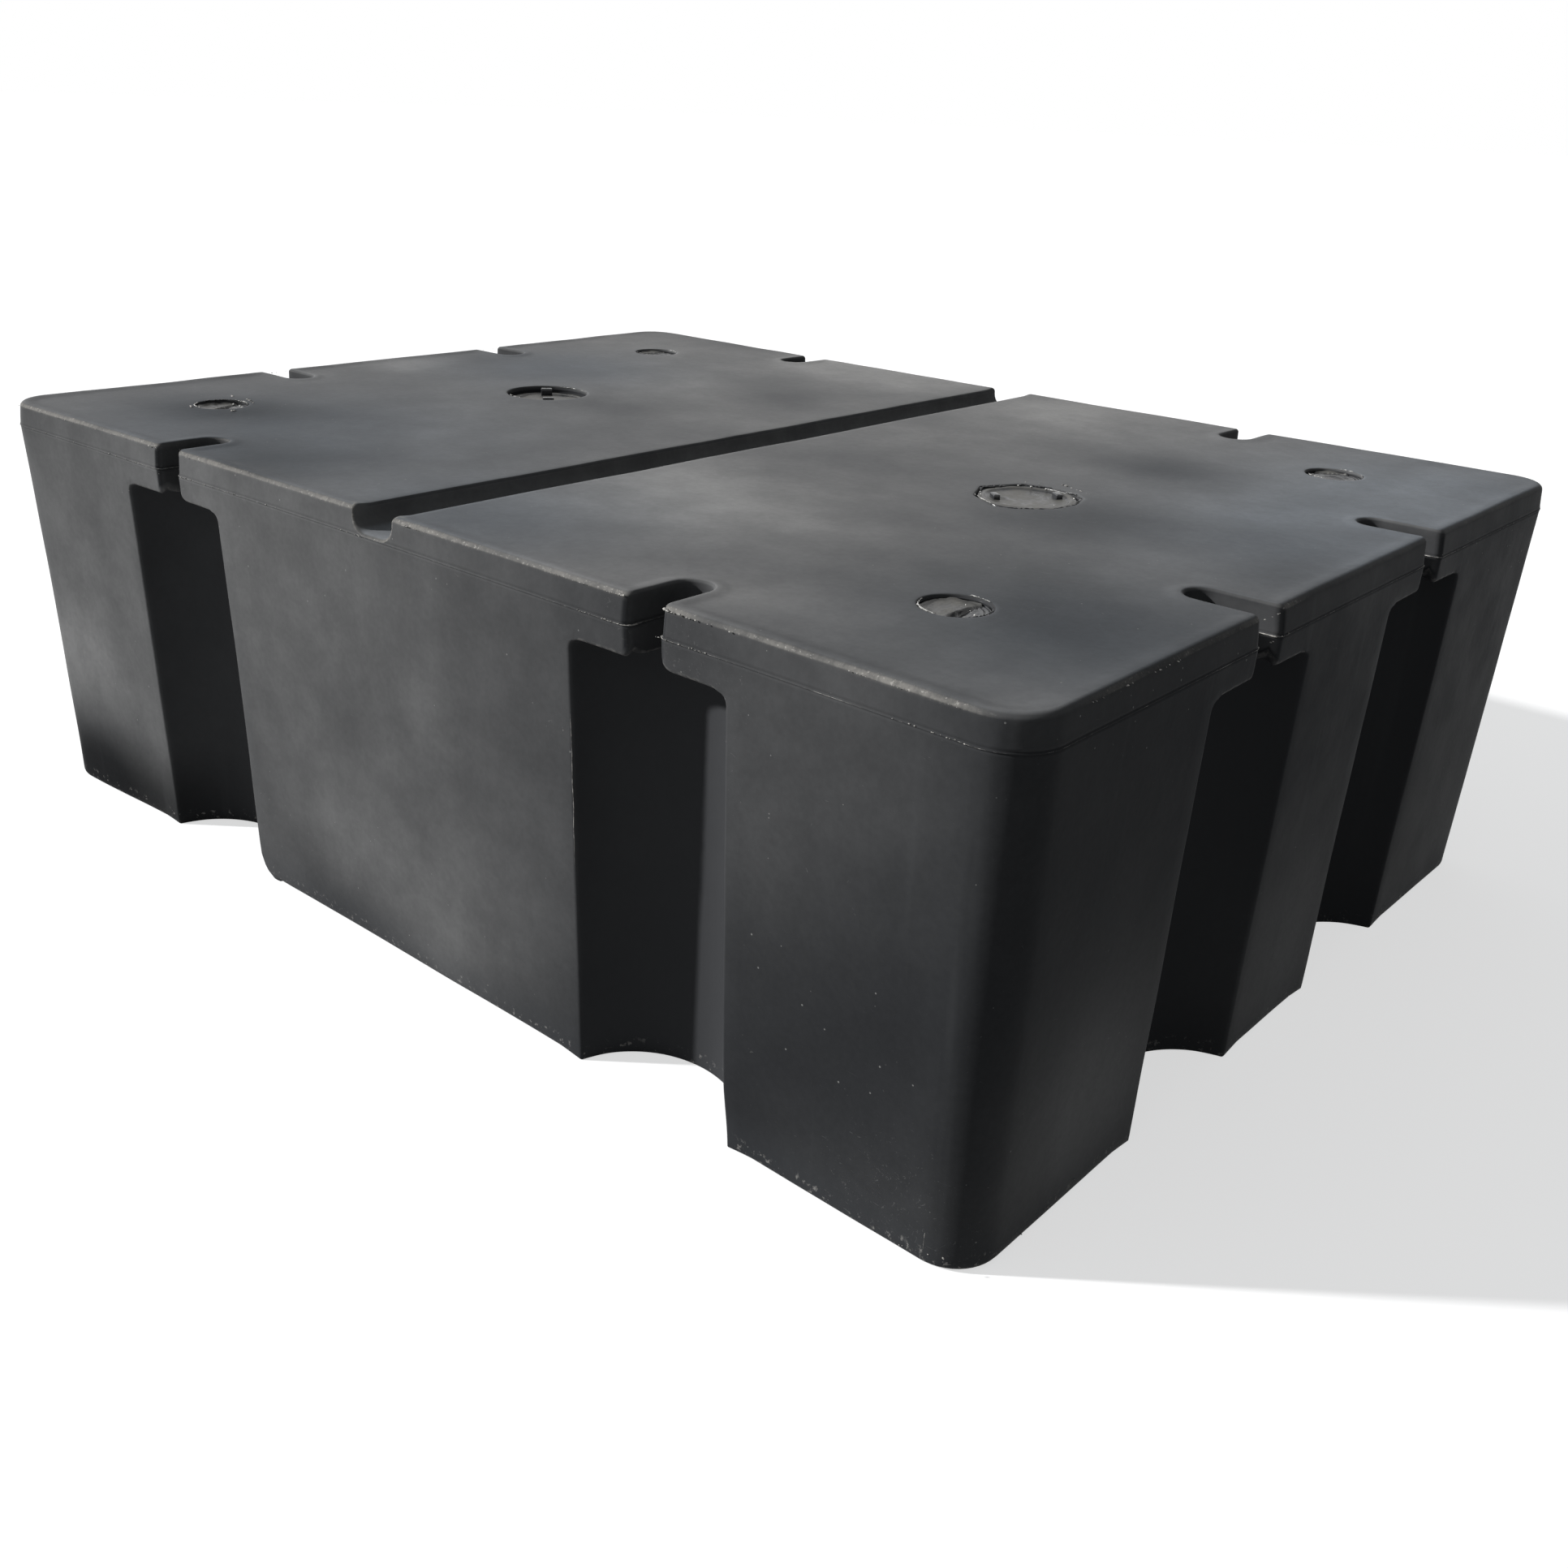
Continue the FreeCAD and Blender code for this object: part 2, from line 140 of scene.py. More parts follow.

# Torn drops along worn edges, pale partly as painted glints: start, end, number of drops and their size
DROP_RUNS = (
    ((322, -455.6, 397.6), (384, -455.6, 397.2), 9, 0.75),
    ((320.5, -455, 398.2), (327, -455.4, 397.4), 5, 1.0),
    ((281, -455.2, 397.8), (288, -455.2, 397.2), 5, 0.85),
    ((212, -455.7, 397.4), (287, -455.7, 397.4), 18, 0.45),
    ((470, -455.6, 397.0), (560, -455.4, 396.6), 12, 0.42),
    ((607.6, -415, 396.6), (607.8, -285, 396.6), 14, 0.6),
    ((607.6, -176, 396.8), (607.8, -120, 396.0), 6, 0.6),
    ((316, -456.4, 376.3), (364, -456.6, 376.2), 16, 0.62),
    ((240, -456.5, 376.2), (286, -456.5, 376.3), 12, 0.5),
    ((514, -456.6, 376.2), (568, -456.2, 376.2), 12, 0.5),
    ((-60, -456.6, 376.3), (-8, -456.6, 376.3), 8, 0.5),
    ((30, -455.6, 397.0), (86, -455.6, 396.8), 9, 0.65),
    ((-331, -455.8, 396.8), (-318, -455.8, 397.0), 5, 0.7),
    ((-288, -455.8, 396.9), (-230, -455.8, 396.6), 8, 0.5),
    ((608.3, -166, 376.2), (608.3, -120, 376.3), 8, 0.6),
    ((-607.4, -175, 397.6), (-607.4, -120, 397.6), 8, 0.8),
    ((-607.4, 122, 397.6), (-607.4, 172, 397.6), 7, 0.8),
    ((540, -446.4, 4), (580, -444.5, 14), 9, 0.6),
    ((598.6, -380, 5), (598.6, -310, 12), 8, 0.6),
    ((306, 63, 399.8), (342, 49, 399.8), 9, 1.3),
    ((276, 44, 399.8), (292, 50, 399.8), 3, 0.8),
    ((-487, -274, 399.8), (-520, -260, 399.8), 3, 1.7),
    ((-417, -321, 399.8), (-415, -314, 399.8), 3, 2.1),
    ((-600, -455.0, 397.0), (-480, -455.6, 396.8), 14, 0.5),
    ((-470, -455.6, 396.8), (-330, -455.7, 396.9), 10, 0.45),
    ((-600, -456.2, 376.2), (-330, -456.5, 376.3), 18, 0.5),
    ((-280, -456.5, 376.2), (-120, -456.5, 376.3), 14, 0.5),
    ((-465, -335, 399.8), (-450, -341, 399.8), 6, 1.4),
    ((-463, -272, 399.8), (-440, -279, 399.8), 8, 1.6),
)

# Raised hairs where a wall was scored: places along each, and its thickness
HAIRS = (
    (((570.3, -447.6, 121), (567, -447.0, 82), (564.2, -446.2, 40), (563.6, -445.8, 12)), 0.45),
    (((558.7, -446.0, 46), (559.4, -445.8, 33), (560.2, -445.6, 20)), 0.35),
    (((228.2, -453.6, 300), (228.0, -452.2, 240), (227.8, -450.6, 175)), 0.3),
)

# Corners of the right fill well's uneven rim: angle in degrees and distance from its middle
MELTED_RIM = (
    (-135, 46), (-89, 52), (-66, 49), (-30, 46.5), (7, 45), (40, 48), (61, 47), (99, 46), (125, 47),
    (180, 48),
)

# Ragged strands round each vent plug: first and last angle, inset, drop, thickness, white
RAGS_FRONT_RIGHT = (
    (-172, -84, 0.6, 0.9, 0.75, 0.8), (62, 108, -0.4, 0.6, 0.45, 0.9), (-60, 50, 0.8, 1.6, 0.6, 0.1),
)
RAGS_FRONT_LEFT = (
    (-150, -80, 0.0, 0.8, 0.8, 0.9), (58, 112, 0.6, 1.2, 0.8, 0.6), (112, 190, 0.2, 1.0, 0.9, 0.2),
)
RAGS_BACK_RIGHT = (
    (-134, -84, 0.2, 0.7, 0.7, 1.0), (66, 104, 0.0, 0.7, 0.5, 0.8), (5, 40, 0.4, 1.0, 0.8, 0.5),
)
RAGS_BACK_LEFT = ((-120, -60, 0.4, 0.8, 0.6, 0.5), (50, 100, 0.4, 0.9, 0.6, 0.7))

# Drops on the front vent plugs, white partly as painted glints: X and Y from the middle, and size
DROPS_FRONT_RIGHT = ((9.8, -3.5, 1.0), (12.5, 4.8, 0.8), (12.7, -5.4, 0.7), (-2, 15, 0.5), (4, 12, 0.6))
DROPS_FRONT_LEFT = ((15, 13, 1.9), (11, 16, 1.5), (18, 7, 1.4), (2, 19, 1.3), (-8, 18, 1.4))

# Drops in the right fill well, white partly as painted glints: X and Y from the middle, depth under the
# deck, and size
DROPS_MELTED = (
    (-17.5, 33.6, 1.2, 1.1), (-14.8, 14.5, 4.9, 0.8), (-4.2, 36.7, 1.2, 1.1), (26.2, 2.1, 4.6, 0.9),
    (-31.5, -24, 1.2, 0.8), (-36, -18, 1.2, 0.7), (32, 24, 1.2, 0.9), (-28, 29, 1.2, 0.7),
)

# Strands in the right fill well: first and last angle, inset from the rim, drop, thickness, white
RAGS_MELTED = (
    (78, 215, 2.0, 1.6, 1.4, 0.05), (38, 84, 1.6, 1.5, 0.8, 0.0), (95, 170, 4.2, 2.4, 0.7, 0.1),
    (222, 272, 0.6, 0.7, 0.45, 1.0), (264, 376, -0.3, 0.95, 1.3, 0.0), (8, 36, 1.2, 0.9, 0.5, 0.5),
)


def ease(value: np.ndarray | float) -> np.ndarray | float:
    """Smooth step from 0 to 1 of a number or an array, held at both ends."""
    held = np.clip(value, 0.0, 1.0)
    return held * held * (3 - 2 * held)


def between(start: float, end: float, count: int) -> np.ndarray:
    """Evenly spaced numbers strictly between two ends."""
    return np.linspace(start, end, count + 2)[1:-1]


def unit(rows: np.ndarray) -> np.ndarray:
    """Rows of X and Y at a length of 1."""
    return rows / np.maximum(1e-9, np.linalg.norm(rows, axis=1))[:, None]


def wobble(*place: float) -> float:
    """Smooth noise between about -1 and 1 at X, Y and Z."""
    return noise.noise(Vector(place))


def bump_at(value: float, middle: float, width: float) -> float:
    """A soft bump that is 1 where a value is at its middle."""
    return math.exp(-((value - middle) / width) ** 2)


def patches(points: np.ndarray, places: Sequence[Sequence[float]]) -> np.ndarray:
    """Sum of soft round patches at each point.

    Args:
        points: Rows of X, Y and Z, or of X and Y.
        places: Middle, reach and strength of each patch.

    Returns:
        One share for each point.
    """
    total = np.zeros(len(points))
    for *middle, reach, share in places:
        away = np.linalg.norm(points[:, :len(middle)] - np.array(middle), axis=1) / reach
        total += share * np.exp(-away ** 2)
    return total


def clouds(points: np.ndarray, size: float, seed: float, octaves: int) -> np.ndarray:
    """Cloudy values between about -1 and 1 at rows of X, Y and Z, for a size, seed and octaves."""
    shift = Vector((seed, -seed, seed * 0.5))
    return np.array([noise.fractal(Vector(p) / size + shift, 0.9, 2.1, octaves) for p in points])


def edge_distance(places: np.ndarray, ring: np.ndarray) -> np.ndarray:
    """Distance in plan from places to a closed line.

    Args:
        places: Rows of X and Y.
        ring: Rows of X and Y of the line's points.

    Returns:
        One distance for each place.
    """
    ways = np.roll(ring, -1, axis=0) - ring
    nearest = np.full(len(places), np.inf)
    for start, way in zip(ring, ways):
        share = np.clip(((places - start) @ way) / max(1e-9, (way ** 2).sum()), 0, 1)
        off = places - start - share[:, None] * way
        nearest = np.minimum(nearest, (off ** 2).sum(axis=1))
    return np.sqrt(nearest)


class MeshDraft:
    """A welded mesh in the making: points, masks and faces."""

    def __init__(self) -> None:
        """Start with nothing."""
        self.points: list[tuple[float, ...]] = []
        self.masks: list[Masks] = []
        self.faces: list[list[int]] = []
        self._known: dict[tuple[float, ...], int] = {}

    def point(self, place: Sequence[float], masks: Masks | None = None) -> int:
        """Add one point, or find the one that is there.

        Args:
            place: X, Y and Z in millimetres.
            masks: Mask values; the highest wins where points meet.

        Returns:
            The point's number.
        """
        key = tuple(round(float(value), 3) for value in place)
        number = self._known.setdefault(key, len(self.points))
        if number == len(self.points):
            self.points.append(key)
            self.masks.append({})
        held = self.masks[number]
        for name, value in (masks or {}).items():
            held[name] = max(held.get(name, 0.0), float(value))
        return number

    def row(self, places: Sequence[Sequence[float]], masks: Masks | None = None) -> list[int]:
        """Add points that share their masks."""
        return [self.point(place, masks) for place in places]

    def face(self, corners: Sequence[int]) -> None:
        """Add a face from its corners, anticlockwise from outside, less those that have run together."""
        kept = [c for i, c in enumerate(corners) if c != corners[i - 1]]
        self.faces += [kept] if len(set(kept)) > 2 else []

    def grid(self, rows: Sequence[Sequence[int]], closed: bool = True) -> None:
        """Join rows of points with faces.

        Args:
            rows: Rows of point numbers, all of one length.
            closed: True if each row runs round to its own start.
        """
        for lower, upper in zip(rows, rows[1:]):
            for i in range(len(lower) if closed else len(lower) - 1):
                j = (i + 1) % len(lower)
                self.face((lower[i], lower[j], upper[j], upper[i]))

    def fill(self, loops: Sequence[Sequence[int]], inner: Sequence[Sequence[float]],
             keep: Callable[[float, float], bool], up: bool) -> None:
        """Fill flat ground between loops with triangles.

        Args:
            loops: Closed loops of point numbers, the outside and any holes.
            inner: X, Y and Z of free points within.
            keep: Tells from the X and Y of a triangle's middle if it stays.
            up: True if the ground faces up.
        """
        numbers: list[int] = []
        edges: list[tuple[int, int]] = []
        for loop in loops:
            start = len(numbers)
            numbers += loop
            edges += [(start + i, start + (i + 1) % len(loop)) for i in range(len(loop))]
        numbers += self.row(inner)
        flat = [Vector(self.points[n][:2]) for n in numbers]
        places, _, triangles, sources, _, _ = delaunay_2d_cdt(flat, edges, [], 1, 1e-4)
        names = [numbers[source[0]] for source in sources]
        for triangle in triangles:
            middle = sum((places[i] for i in triangle), Vector((0, 0))) / 3
            if keep(middle.x, middle.y):
                corners = [names[i] for i in triangle]
                self.face(corners if up else corners[::-1])

    def cap(self, row: Sequence[int], up: bool) -> None:
        """Close a ring of points with a fan from its middle.

        Args:
            row: Point numbers of the ring.
            up: True to keep the ring's direction, False to turn the fan over.
        """
        hub = self.point(np.mean([self.points[n] for n in row], axis=0), self.masks[row[0]])
        for i, n in enumerate(row):
            after = row[(i + 1) % len(row)]
            self.face((n, after, hub) if up else (after, n, hub))

    def loft(self, rows: Sequence[Sequence[int]]) -> None:
        """Join closed rows into a closed body, lowest first and anticlockwise from above."""
        self.grid(rows)
        self.cap(rows[0], False)
        self.cap(rows[-1], True)

    def block(self, place: Sequence[float], turn: float, size: tuple[float, float], low: float, high: float,
              edge: float, masks: Masks) -> None:
        """Add a standing block with rounded edges.

        Args:
            place: X and Y of its middle.
            turn: Angle of its first side.
            size: Length along that side and across it.
            low: Height of its foot.
            high: Height of its top.
            edge: Radius of its edges.
            masks: Mask values of the top edge.
        """
        along = np.array((math.cos(turn), math.sin(turn)))
        across = np.array((-along[1], along[0]))
        rows = []
        for z, inset in ((low, 0.0), (high - edge, 0.0), (high - edge * 0.3, edge * 0.3), (high, edge)):
            ring = []
            for start, (side_a, side_c) in enumerate(((1, 1), (-1, 1), (-1, -1), (1, -1))):
                for k in range(4):
                    angle = (start + k / 3) * math.pi / 2
                    a = side_a * (size[0] / 2 - edge) + (edge - inset * 0.99) * math.cos(angle)
                    c = side_c * (size[1] / 2 - edge) + (edge - inset * 0.99) * math.sin(angle)
                    ring.append((*(np.array(place) + along * a + across * c), z))
            rows.append(self.row(ring, masks if z > high - edge else {}))
        self.loft(rows)

    def bead(self, place: Sequence[float], radius: float, squash: float, masks: Masks) -> None:
        """Add a small rounded drop.

        Args:
            place: X, Y and Z of its middle.
            radius: Its radius in plan.
            squash: Height as a share of that.
            masks: Mask values.
        """
        rows = []
        for lift in np.radians([-70, -35, 0, 35, 70]):
            turns = np.arange(8) * math.pi / 4 + lift
            reach = radius * math.cos(lift)
            x = place[0] + reach * np.cos(turns) * 1.2
            y = place[1] + reach * np.sin(turns) * 0.85
            z = place[2] + radius * squash * math.sin(lift)
            rows.append(self.row([(*p, z) for p in zip(x, y)], masks))
        self.loft(rows)

    def strand(self, path: np.ndarray, radii: Sequence[float], masks: Masks) -> None:
        """Add an uneven strand of plastic, pinched shut at both ends.

        Args:
            path: Rows of X, Y and Z along its middle.
            radii: Its radius at each row.
            masks: Mask values.
        """
        rows = []
        for (x, y, z), (dx, dy), radius in zip(path, unit(np.gradient(path[:, :2], axis=0)), radii):
            turns = [i * math.pi / 3 for i in range(6)]
            sides = [(radius * math.cos(turn), radius * math.sin(turn)) for turn in turns]
            ring = [(x + dy * side, y - dx * side, z + up) for side, up in sides]
            rows.append(self.row(ring, masks)[::-1])
        self.loft(rows)

    def make(self, name: str, shape: Callable | None = None) -> bpy.types.Object:
        """Turn the draft into a smooth object in metres.

        Args:
            name: The object's name.
            shape: Changes the masks and returns the moved points, where there is anything to change.

        Returns:
            The new object, linked to the scene.
        """
        points = np.array(self.points)
        masks = {mask.value: np.array([m.get(mask.value, 0.0) for m in self.masks]) for mask in Mask}
        if shape:
            points = shape(points, masks)
        mesh = bpy.data.meshes.new(name)
        mesh.from_pydata((points * MM).tolist(), [], self.faces)
        mesh.validate()
        for mask, values in masks.items():
            layer = mesh.attributes.new(mask, "FLOAT", "POINT")
            layer.data.foreach_set("value", np.asarray(values, dtype=np.float32))
        mesh.shade_smooth()
        thing = bpy.data.objects.new(name, mesh)
        bpy.context.scene.collection.objects.link(thing)
        LOG.info("%s: %d points, %d faces", name, len(points), len(self.faces))
        return thing


@dataclass(frozen=True)
class Moulding:
    """Driving sizes of the moulded float, in millimetres."""

    half_length: float = (FLOAT_BOX[1].x - FLOAT_BOX[0].x) / MM / 2
    half_width: float = (FLOAT_BOX[1].y - FLOAT_BOX[0].y) / MM / 2
    height: float = (FLOAT_BOX[1].z - FLOAT_BOX[0].z) / MM
    skin: float = 1.3
    corner_radius: float = 38
    upper_band: float = 24
    upper_draw: float = 2
    lower_draw: float = 10
    rim_radius: float = 5
    slot_rim_radius: float = 3
    foot_radius: float = 6
    channel_radius: float = 75.5
    channel_flare: float = 3
    channel_outset: float = 8
    lip_thickness: float = 47
    cove_radius: float = 8
    arris_reach: float = 3
    arris_foot: float = 2.2
    long_pitch: float = 608
    short_pitch: float = 304
    slot_half_above: float = 15.8
    slot_half_below: float = 14.4
    long_slot_reach: float = 63
    short_slot_reach: float = 68
    mouth_radius: float = 6
    lip_edge_radius: float = 4
    slot_lip_radius: float = 2.6
    lip_corner_before: float = 6
    lip_corner_after: float = 12
    # The bead along the parting line: heights from it, and how far the wall stands out at each
    seam_levels: tuple[float, ...] = (-3, -1.5, -0.9, -0.3, 0.3, 0.9, 1.6, 3.2)
    seam_stands: tuple[float, ...] = (0, 0.1, -0.5, 0.45, 0.5, -0.45, 0.2, 0)

    @property
    def parting(self) -> float:
        """Height of the parting line."""
        return self.height - self.upper_band

    @property
    def ceiling(self) -> float:
        """Height of the channels' flat tops."""
        return self.height - self.lip_thickness

    def draw(self, z: float) -> float:
        """How far the walls have drawn in from the box at a height, with the room left for the flash."""
        over = z - self.parting
        return self.skin + (self.upper_draw * over / self.upper_band if over > 0
                            else -self.lower_draw * over / self.parting)

    def bore(self, z: float) -> float:
        """Radius of a channel at a height, which opens towards the foot."""
        return self.channel_radius + self.channel_flare * max(0.0, self.ceiling - z) / self.ceiling

    def bead(self, z: float) -> float:
        """How far the wall stands out at a height near the parting line."""
        return float(np.interp(z - self.parting, self.seam_levels, self.seam_stands))

    def spread(self, margin: float, step: float) -> list[tuple[float, float]]:
        """A grid of places in plan, for a margin from the sides and a step."""
        reaches = [reach - margin for reach in (self.half_length, self.half_width)]
        return list(product(*(np.arange(-reach, reach + 1, step) for reach in reaches)))

    def rim_inset(self, z: float) -> float:
        """How far the deck edge has rounded in at a height."""
        over = max(0.0, min(self.rim_radius, z - (self.height - self.rim_radius)))
        return self.rim_radius - math.sqrt(max(0.0, self.rim_radius ** 2 - over * over))

    def rim_levels(self) -> list[float]:
        """Heights of the rings round the deck edge, from the band up."""
        start = self.height - self.rim_radius
        return [start + self.rim_radius * math.sin(turn) for turn in np.radians(range(0, 91, 15))]

    def arris(self, middle: float, hand: int, z: float, turn: float) -> float:
        """Place of a channel's arris along its side."""
        radius = self.bore(z) - self.cove_radius * (1 - math.cos(turn))
        return middle + hand * math.sqrt(radius ** 2 - (self.channel_outset + self.draw(z)) ** 2)


@dataclass(frozen=True)
class Side:
    """One side of the float, in its own run and outward directions."""

    run: tuple[float, float]
    out: tuple[float, float]
    half_run: float
    reach: float
    pitch: float
    slot_reach: float
    grooved: bool

    def plan(self, local: np.ndarray) -> np.ndarray:
        """Turn rows of run, out and Z into rows of X, Y and Z."""
        turned = [local[:, 0] * self.run[k] + local[:, 1] * self.out[k] for k in (0, 1)]
        return np.column_stack((*turned, local[:, 2]))


@dataclass(frozen=True)
class Anchor:
    """Where a plain run of wall ends: beside an arris, or at a place that may draw in with the wall."""

    place: float
    hand: int = 0
    arris: bool = False

    def at(self, size: Moulding, z: float, turn: float) -> float:
        """Place along the run at a height and an angle round the cove."""
        if self.arris:
            return size.arris(self.place, self.hand, z, turn) + self.hand * size.arris_reach
        return self.place - self.hand * size.draw(z)


@dataclass
class Stretch:
    """Neighbouring columns of the wall: where they run below the ceilings and above them."""

    size: Moulding
    side: Side
    count: int = field(init=False, default=0)
    traits: dict[str, np.ndarray] = field(init=False, default_factory=dict)

    def settle(self, count: int, **changes: np.ndarray) -> None:
        """Give each column its roundings at the rim, lip and foot, its cut-off height and its shade.

        Args:
            count: How many columns.
            **changes: Traits that aren't plain.
        """
        self.count = count
        plain = {"rim": self.size.rim_radius, "lip": 0, "lift": 0, "foot": self.size.foot_radius,
                 "clip": self.size.height, "deep": 0, "edge": 0}
        self.traits = {name: np.full(count, value, dtype=float) for name, value in plain.items()} | changes

    def rows(self, run: np.ndarray, out: np.ndarray | float, z: np.ndarray | float) -> np.ndarray:
        """Rows of run, out and Z."""
        return np.column_stack(np.broadcast_arrays(run, out, z))

    def wall(self, z: float) -> float:
        """Outward place of the wall at a height."""
        return self.side.reach - self.size.draw(z)

    def cove_z(self, z: float, turn: float, radius: np.ndarray | float) -> np.ndarray:
        """Height of each column at an angle round the cove, or at a height where that is 0."""
        level = z if turn == 0 else self.size.ceiling - radius * (1 - math.sin(turn))
        return np.zeros(self.count) + level


@dataclass
class FaceStretch(Stretch):
    """A plain run of wall between two anchors."""

    first: Anchor = Anchor(0)
    last: Anchor = Anchor(0)
    step: float = 12.5
    foot_fade: float = 22

    def __post_init__(self) -> None:
        """Space the columns and keep the foot's rounding small by an arris."""
        start, end = (anchor.at(self.size, 0, 0) for anchor in (self.first, self.last))
        self.settle(max(3, round(abs(end - start) / self.step)))
        least = self.size.arris_foot
        for anchor, place in ((self.first, start), (self.last, end)):
            if anchor.arris:
                away = np.abs(self.places(0, 0) - place) / self.foot_fade
                foot = least + (self.size.foot_radius - least) * ease(away)
                self.traits["foot"] = np.minimum(self.traits["foot"], foot)

    def places(self, z: float, turn: float) -> np.ndarray:
        """Places of the columns along the run."""
        start, end = (anchor.at(self.size, z, turn) for anchor in (self.first, self.last))
        return start + (end - start) * between(0, 1, self.count)

    def low(self, z: float, turn: float) -> np.ndarray:
        """Points below the ceiling: rows of run, out and Z."""
        height = self.cove_z(z, turn, self.size.cove_radius)
        return self.rows(self.places(height[0], turn), self.wall(height[0]), height)

    def top(self, z: float) -> np.ndarray:
        """Points above the ceiling: rows of run, out and Z."""
        return self.rows(self.places(self.size.ceiling, math.pi / 2), self.wall(z), z)


@dataclass
class ArrisStretch(Stretch):
    """The rounded arris between a face and a channel."""

    middle: float
    hand: int

    def __post_init__(self) -> None:
        """Five columns, nearly sharp at the foot and in shade on the channel's side."""
        traits = {
            "foot": (self.size.arris_foot, 1.6, 1.2, 1.2, 1.4), "deep": (0, 0.1, 0.3, 0.6, 0.9),
            "edge": (0.2, 1.0, 1.0, 0.3, 0.0), "lip": (0.0, 0.7, 1.6, 2.5, 3.2),
        }
        self.settle(5, **{name: np.array(values)[:: -self.hand] for name, values in traits.items()})

    def low(self, z: float, turn: float) -> np.ndarray:
        """Points below the ceiling, on a bend between the face and the channel's wall.

        Args:
            z: Height.
            turn: Angle round the cove.

        Returns:
            Rows of run, out and Z.
        """
        size = self.size
        height = self.cove_z(z, turn, size.cove_radius)
        level = height[0]
        tip = size.arris(self.middle, self.hand, level, turn)
        radius = size.bore(level) - size.cove_radius * (1 - math.cos(turn))
        angle = math.asin((size.channel_outset + size.draw(level)) / radius) + size.arris_reach / radius
        outer = np.array((tip + self.hand * size.arris_reach, self.wall(level)))
        corner = np.array((tip, self.wall(level)))
        centre_out = self.side.reach + size.channel_outset
        inner = np.array((
            self.middle + self.hand * radius * math.cos(angle), centre_out - radius * math.sin(angle)
        ))
        shares = np.linspace(0, 1, 5)[:, None]
        bend = outer * (1 - shares) ** 2 + corner * 2 * shares * (1 - shares) + inner * shares ** 2
        return np.column_stack((bend[:: -self.hand], height))

    def top(self, z: float) -> np.ndarray:
        """Points above the ceiling: rows of run, out and Z."""
        tip = self.size.arris(self.middle, self.hand, self.size.ceiling, math.pi / 2)
        return self.rows(tip + np.linspace(-1, 1, 5) * self.size.arris_reach, self.wall(z), z)


@dataclass
class ChannelStretch(Stretch):
    """A channel's round wall below the ceiling, and the lip with its bolt slot above it."""

    middle: float
    straight: int = 10
    mouth: int = 4
    depth: int = 7
    end: int = 12
    cove: np.ndarray = field(init=False)

    def __post_init__(self) -> None:
        """Work out each column's roundings."""
        size = self.size
        self.settle(2 * (self.straight + self.mouth + self.depth) + self.end + 1)
        order = np.minimum(np.arange(self.count), np.arange(self.count)[::-1])
        into_slot = ease((order - self.straight) / self.mouth)
        lip = size.lip_edge_radius * (0.9 + 0.1 * ease(order / 3))
        self.traits |= {
            "rim": size.rim_radius + (size.slot_rim_radius - size.rim_radius) * into_slot,
            "lip": lip + (size.slot_lip_radius - size.lip_edge_radius) * into_slot,
            "foot": 1.4 + 1.1 * ease(order / 6),
            "deep": np.ones(self.count),
        }
        self.cove = np.full(self.count, size.cove_radius, dtype=float)
        lower, upper = self.low(size.ceiling, 0), self.top(size.ceiling)
        room = np.hypot(lower[:, 0] - upper[:, 0], lower[:, 1] - upper[:, 1]) - self.traits["lip"]
        self.cove = np.minimum(size.cove_radius, np.maximum(1.0, 0.9 * room))
        plan = self.top(size.parting - 10)
        from_slot = np.abs(plan[:, 0] - self.middle) - size.slot_half_below
        deep_in = self.side.reach - plan[:, 1] - size.mouth_radius
        for hand, corner in ((-1, size.lip_corner_before), (1, size.lip_corner_after)):
            room = np.clip(corner - from_slot, 0, corner)
            lift = (corner - np.sqrt(corner ** 2 - room ** 2)) * ease(1 - deep_in / (corner + 6))
            self.traits["lift"] = np.where((plan[:, 0] - self.middle) * hand > 0, lift, self.traits["lift"])

    def low(self, z: float, turn: float) -> np.ndarray:
        """Points below the ceiling, round the channel's wall.

        Args:
            z: Height.
            turn: Angle round the cove.

        Returns:
            Rows of run, out and Z.
        """
        size = self.size
        cove = self.cove if turn else np.zeros(self.count)
        height = self.cove_z(z, turn, cove)
        bore = np.array([size.bore(h) for h in height]) - cove * (1 - math.cos(turn))
        draw = np.array([size.draw(h) for h in height])
        first = np.arcsin((size.channel_outset + draw) / bore) + size.arris_reach / bore
        angle = first + (math.pi - 2 * first) * between(0, 1, self.count)
        out = self.side.reach + size.channel_outset - bore * np.sin(angle)
        return self.rows(self.middle - bore * np.cos(angle), out, height)

    def top(self, z: float) -> np.ndarray:
        """Points above the ceiling, along the lip and into the slot and out again.

        Args:
            z: Height.

        Returns:
            Rows of run, out and Z.
        """
        size = self.size
        wall = self.wall(z)
        below, above = size.slot_half_below, size.slot_half_above
        half = below + (above - below) * float(ease((z - size.parting + 2) / 3))
        centre = self.side.reach - self.side.slot_reach + above
        tip = size.arris(0.0, -1, size.ceiling, math.pi / 2) + size.arris_reach
        corner = half + size.mouth_radius
        shares = 1 - (1 - between(0, 1, self.straight)) ** 1.5
        line = [(tip + (-corner - tip) * share, wall) for share in shares]
        for turn in np.linspace(0, math.pi / 2, self.mouth + 1)[:-1]:
            line.append((-corner + size.mouth_radius * math.sin(turn),
                         wall - size.mouth_radius + size.mouth_radius * math.cos(turn)))
        line += [(-half, out) for out in np.linspace(wall - size.mouth_radius, centre, self.depth + 1)[:-1]]
        turns = np.linspace(0, math.pi, self.end + 1)
        round_end = [(-half * math.cos(turn), centre - half * math.sin(turn)) for turn in turns]
        run, out = np.array(line + round_end + [(-run, out) for run, out in line[::-1]]).T
        return self.rows(run + self.middle, out, z)


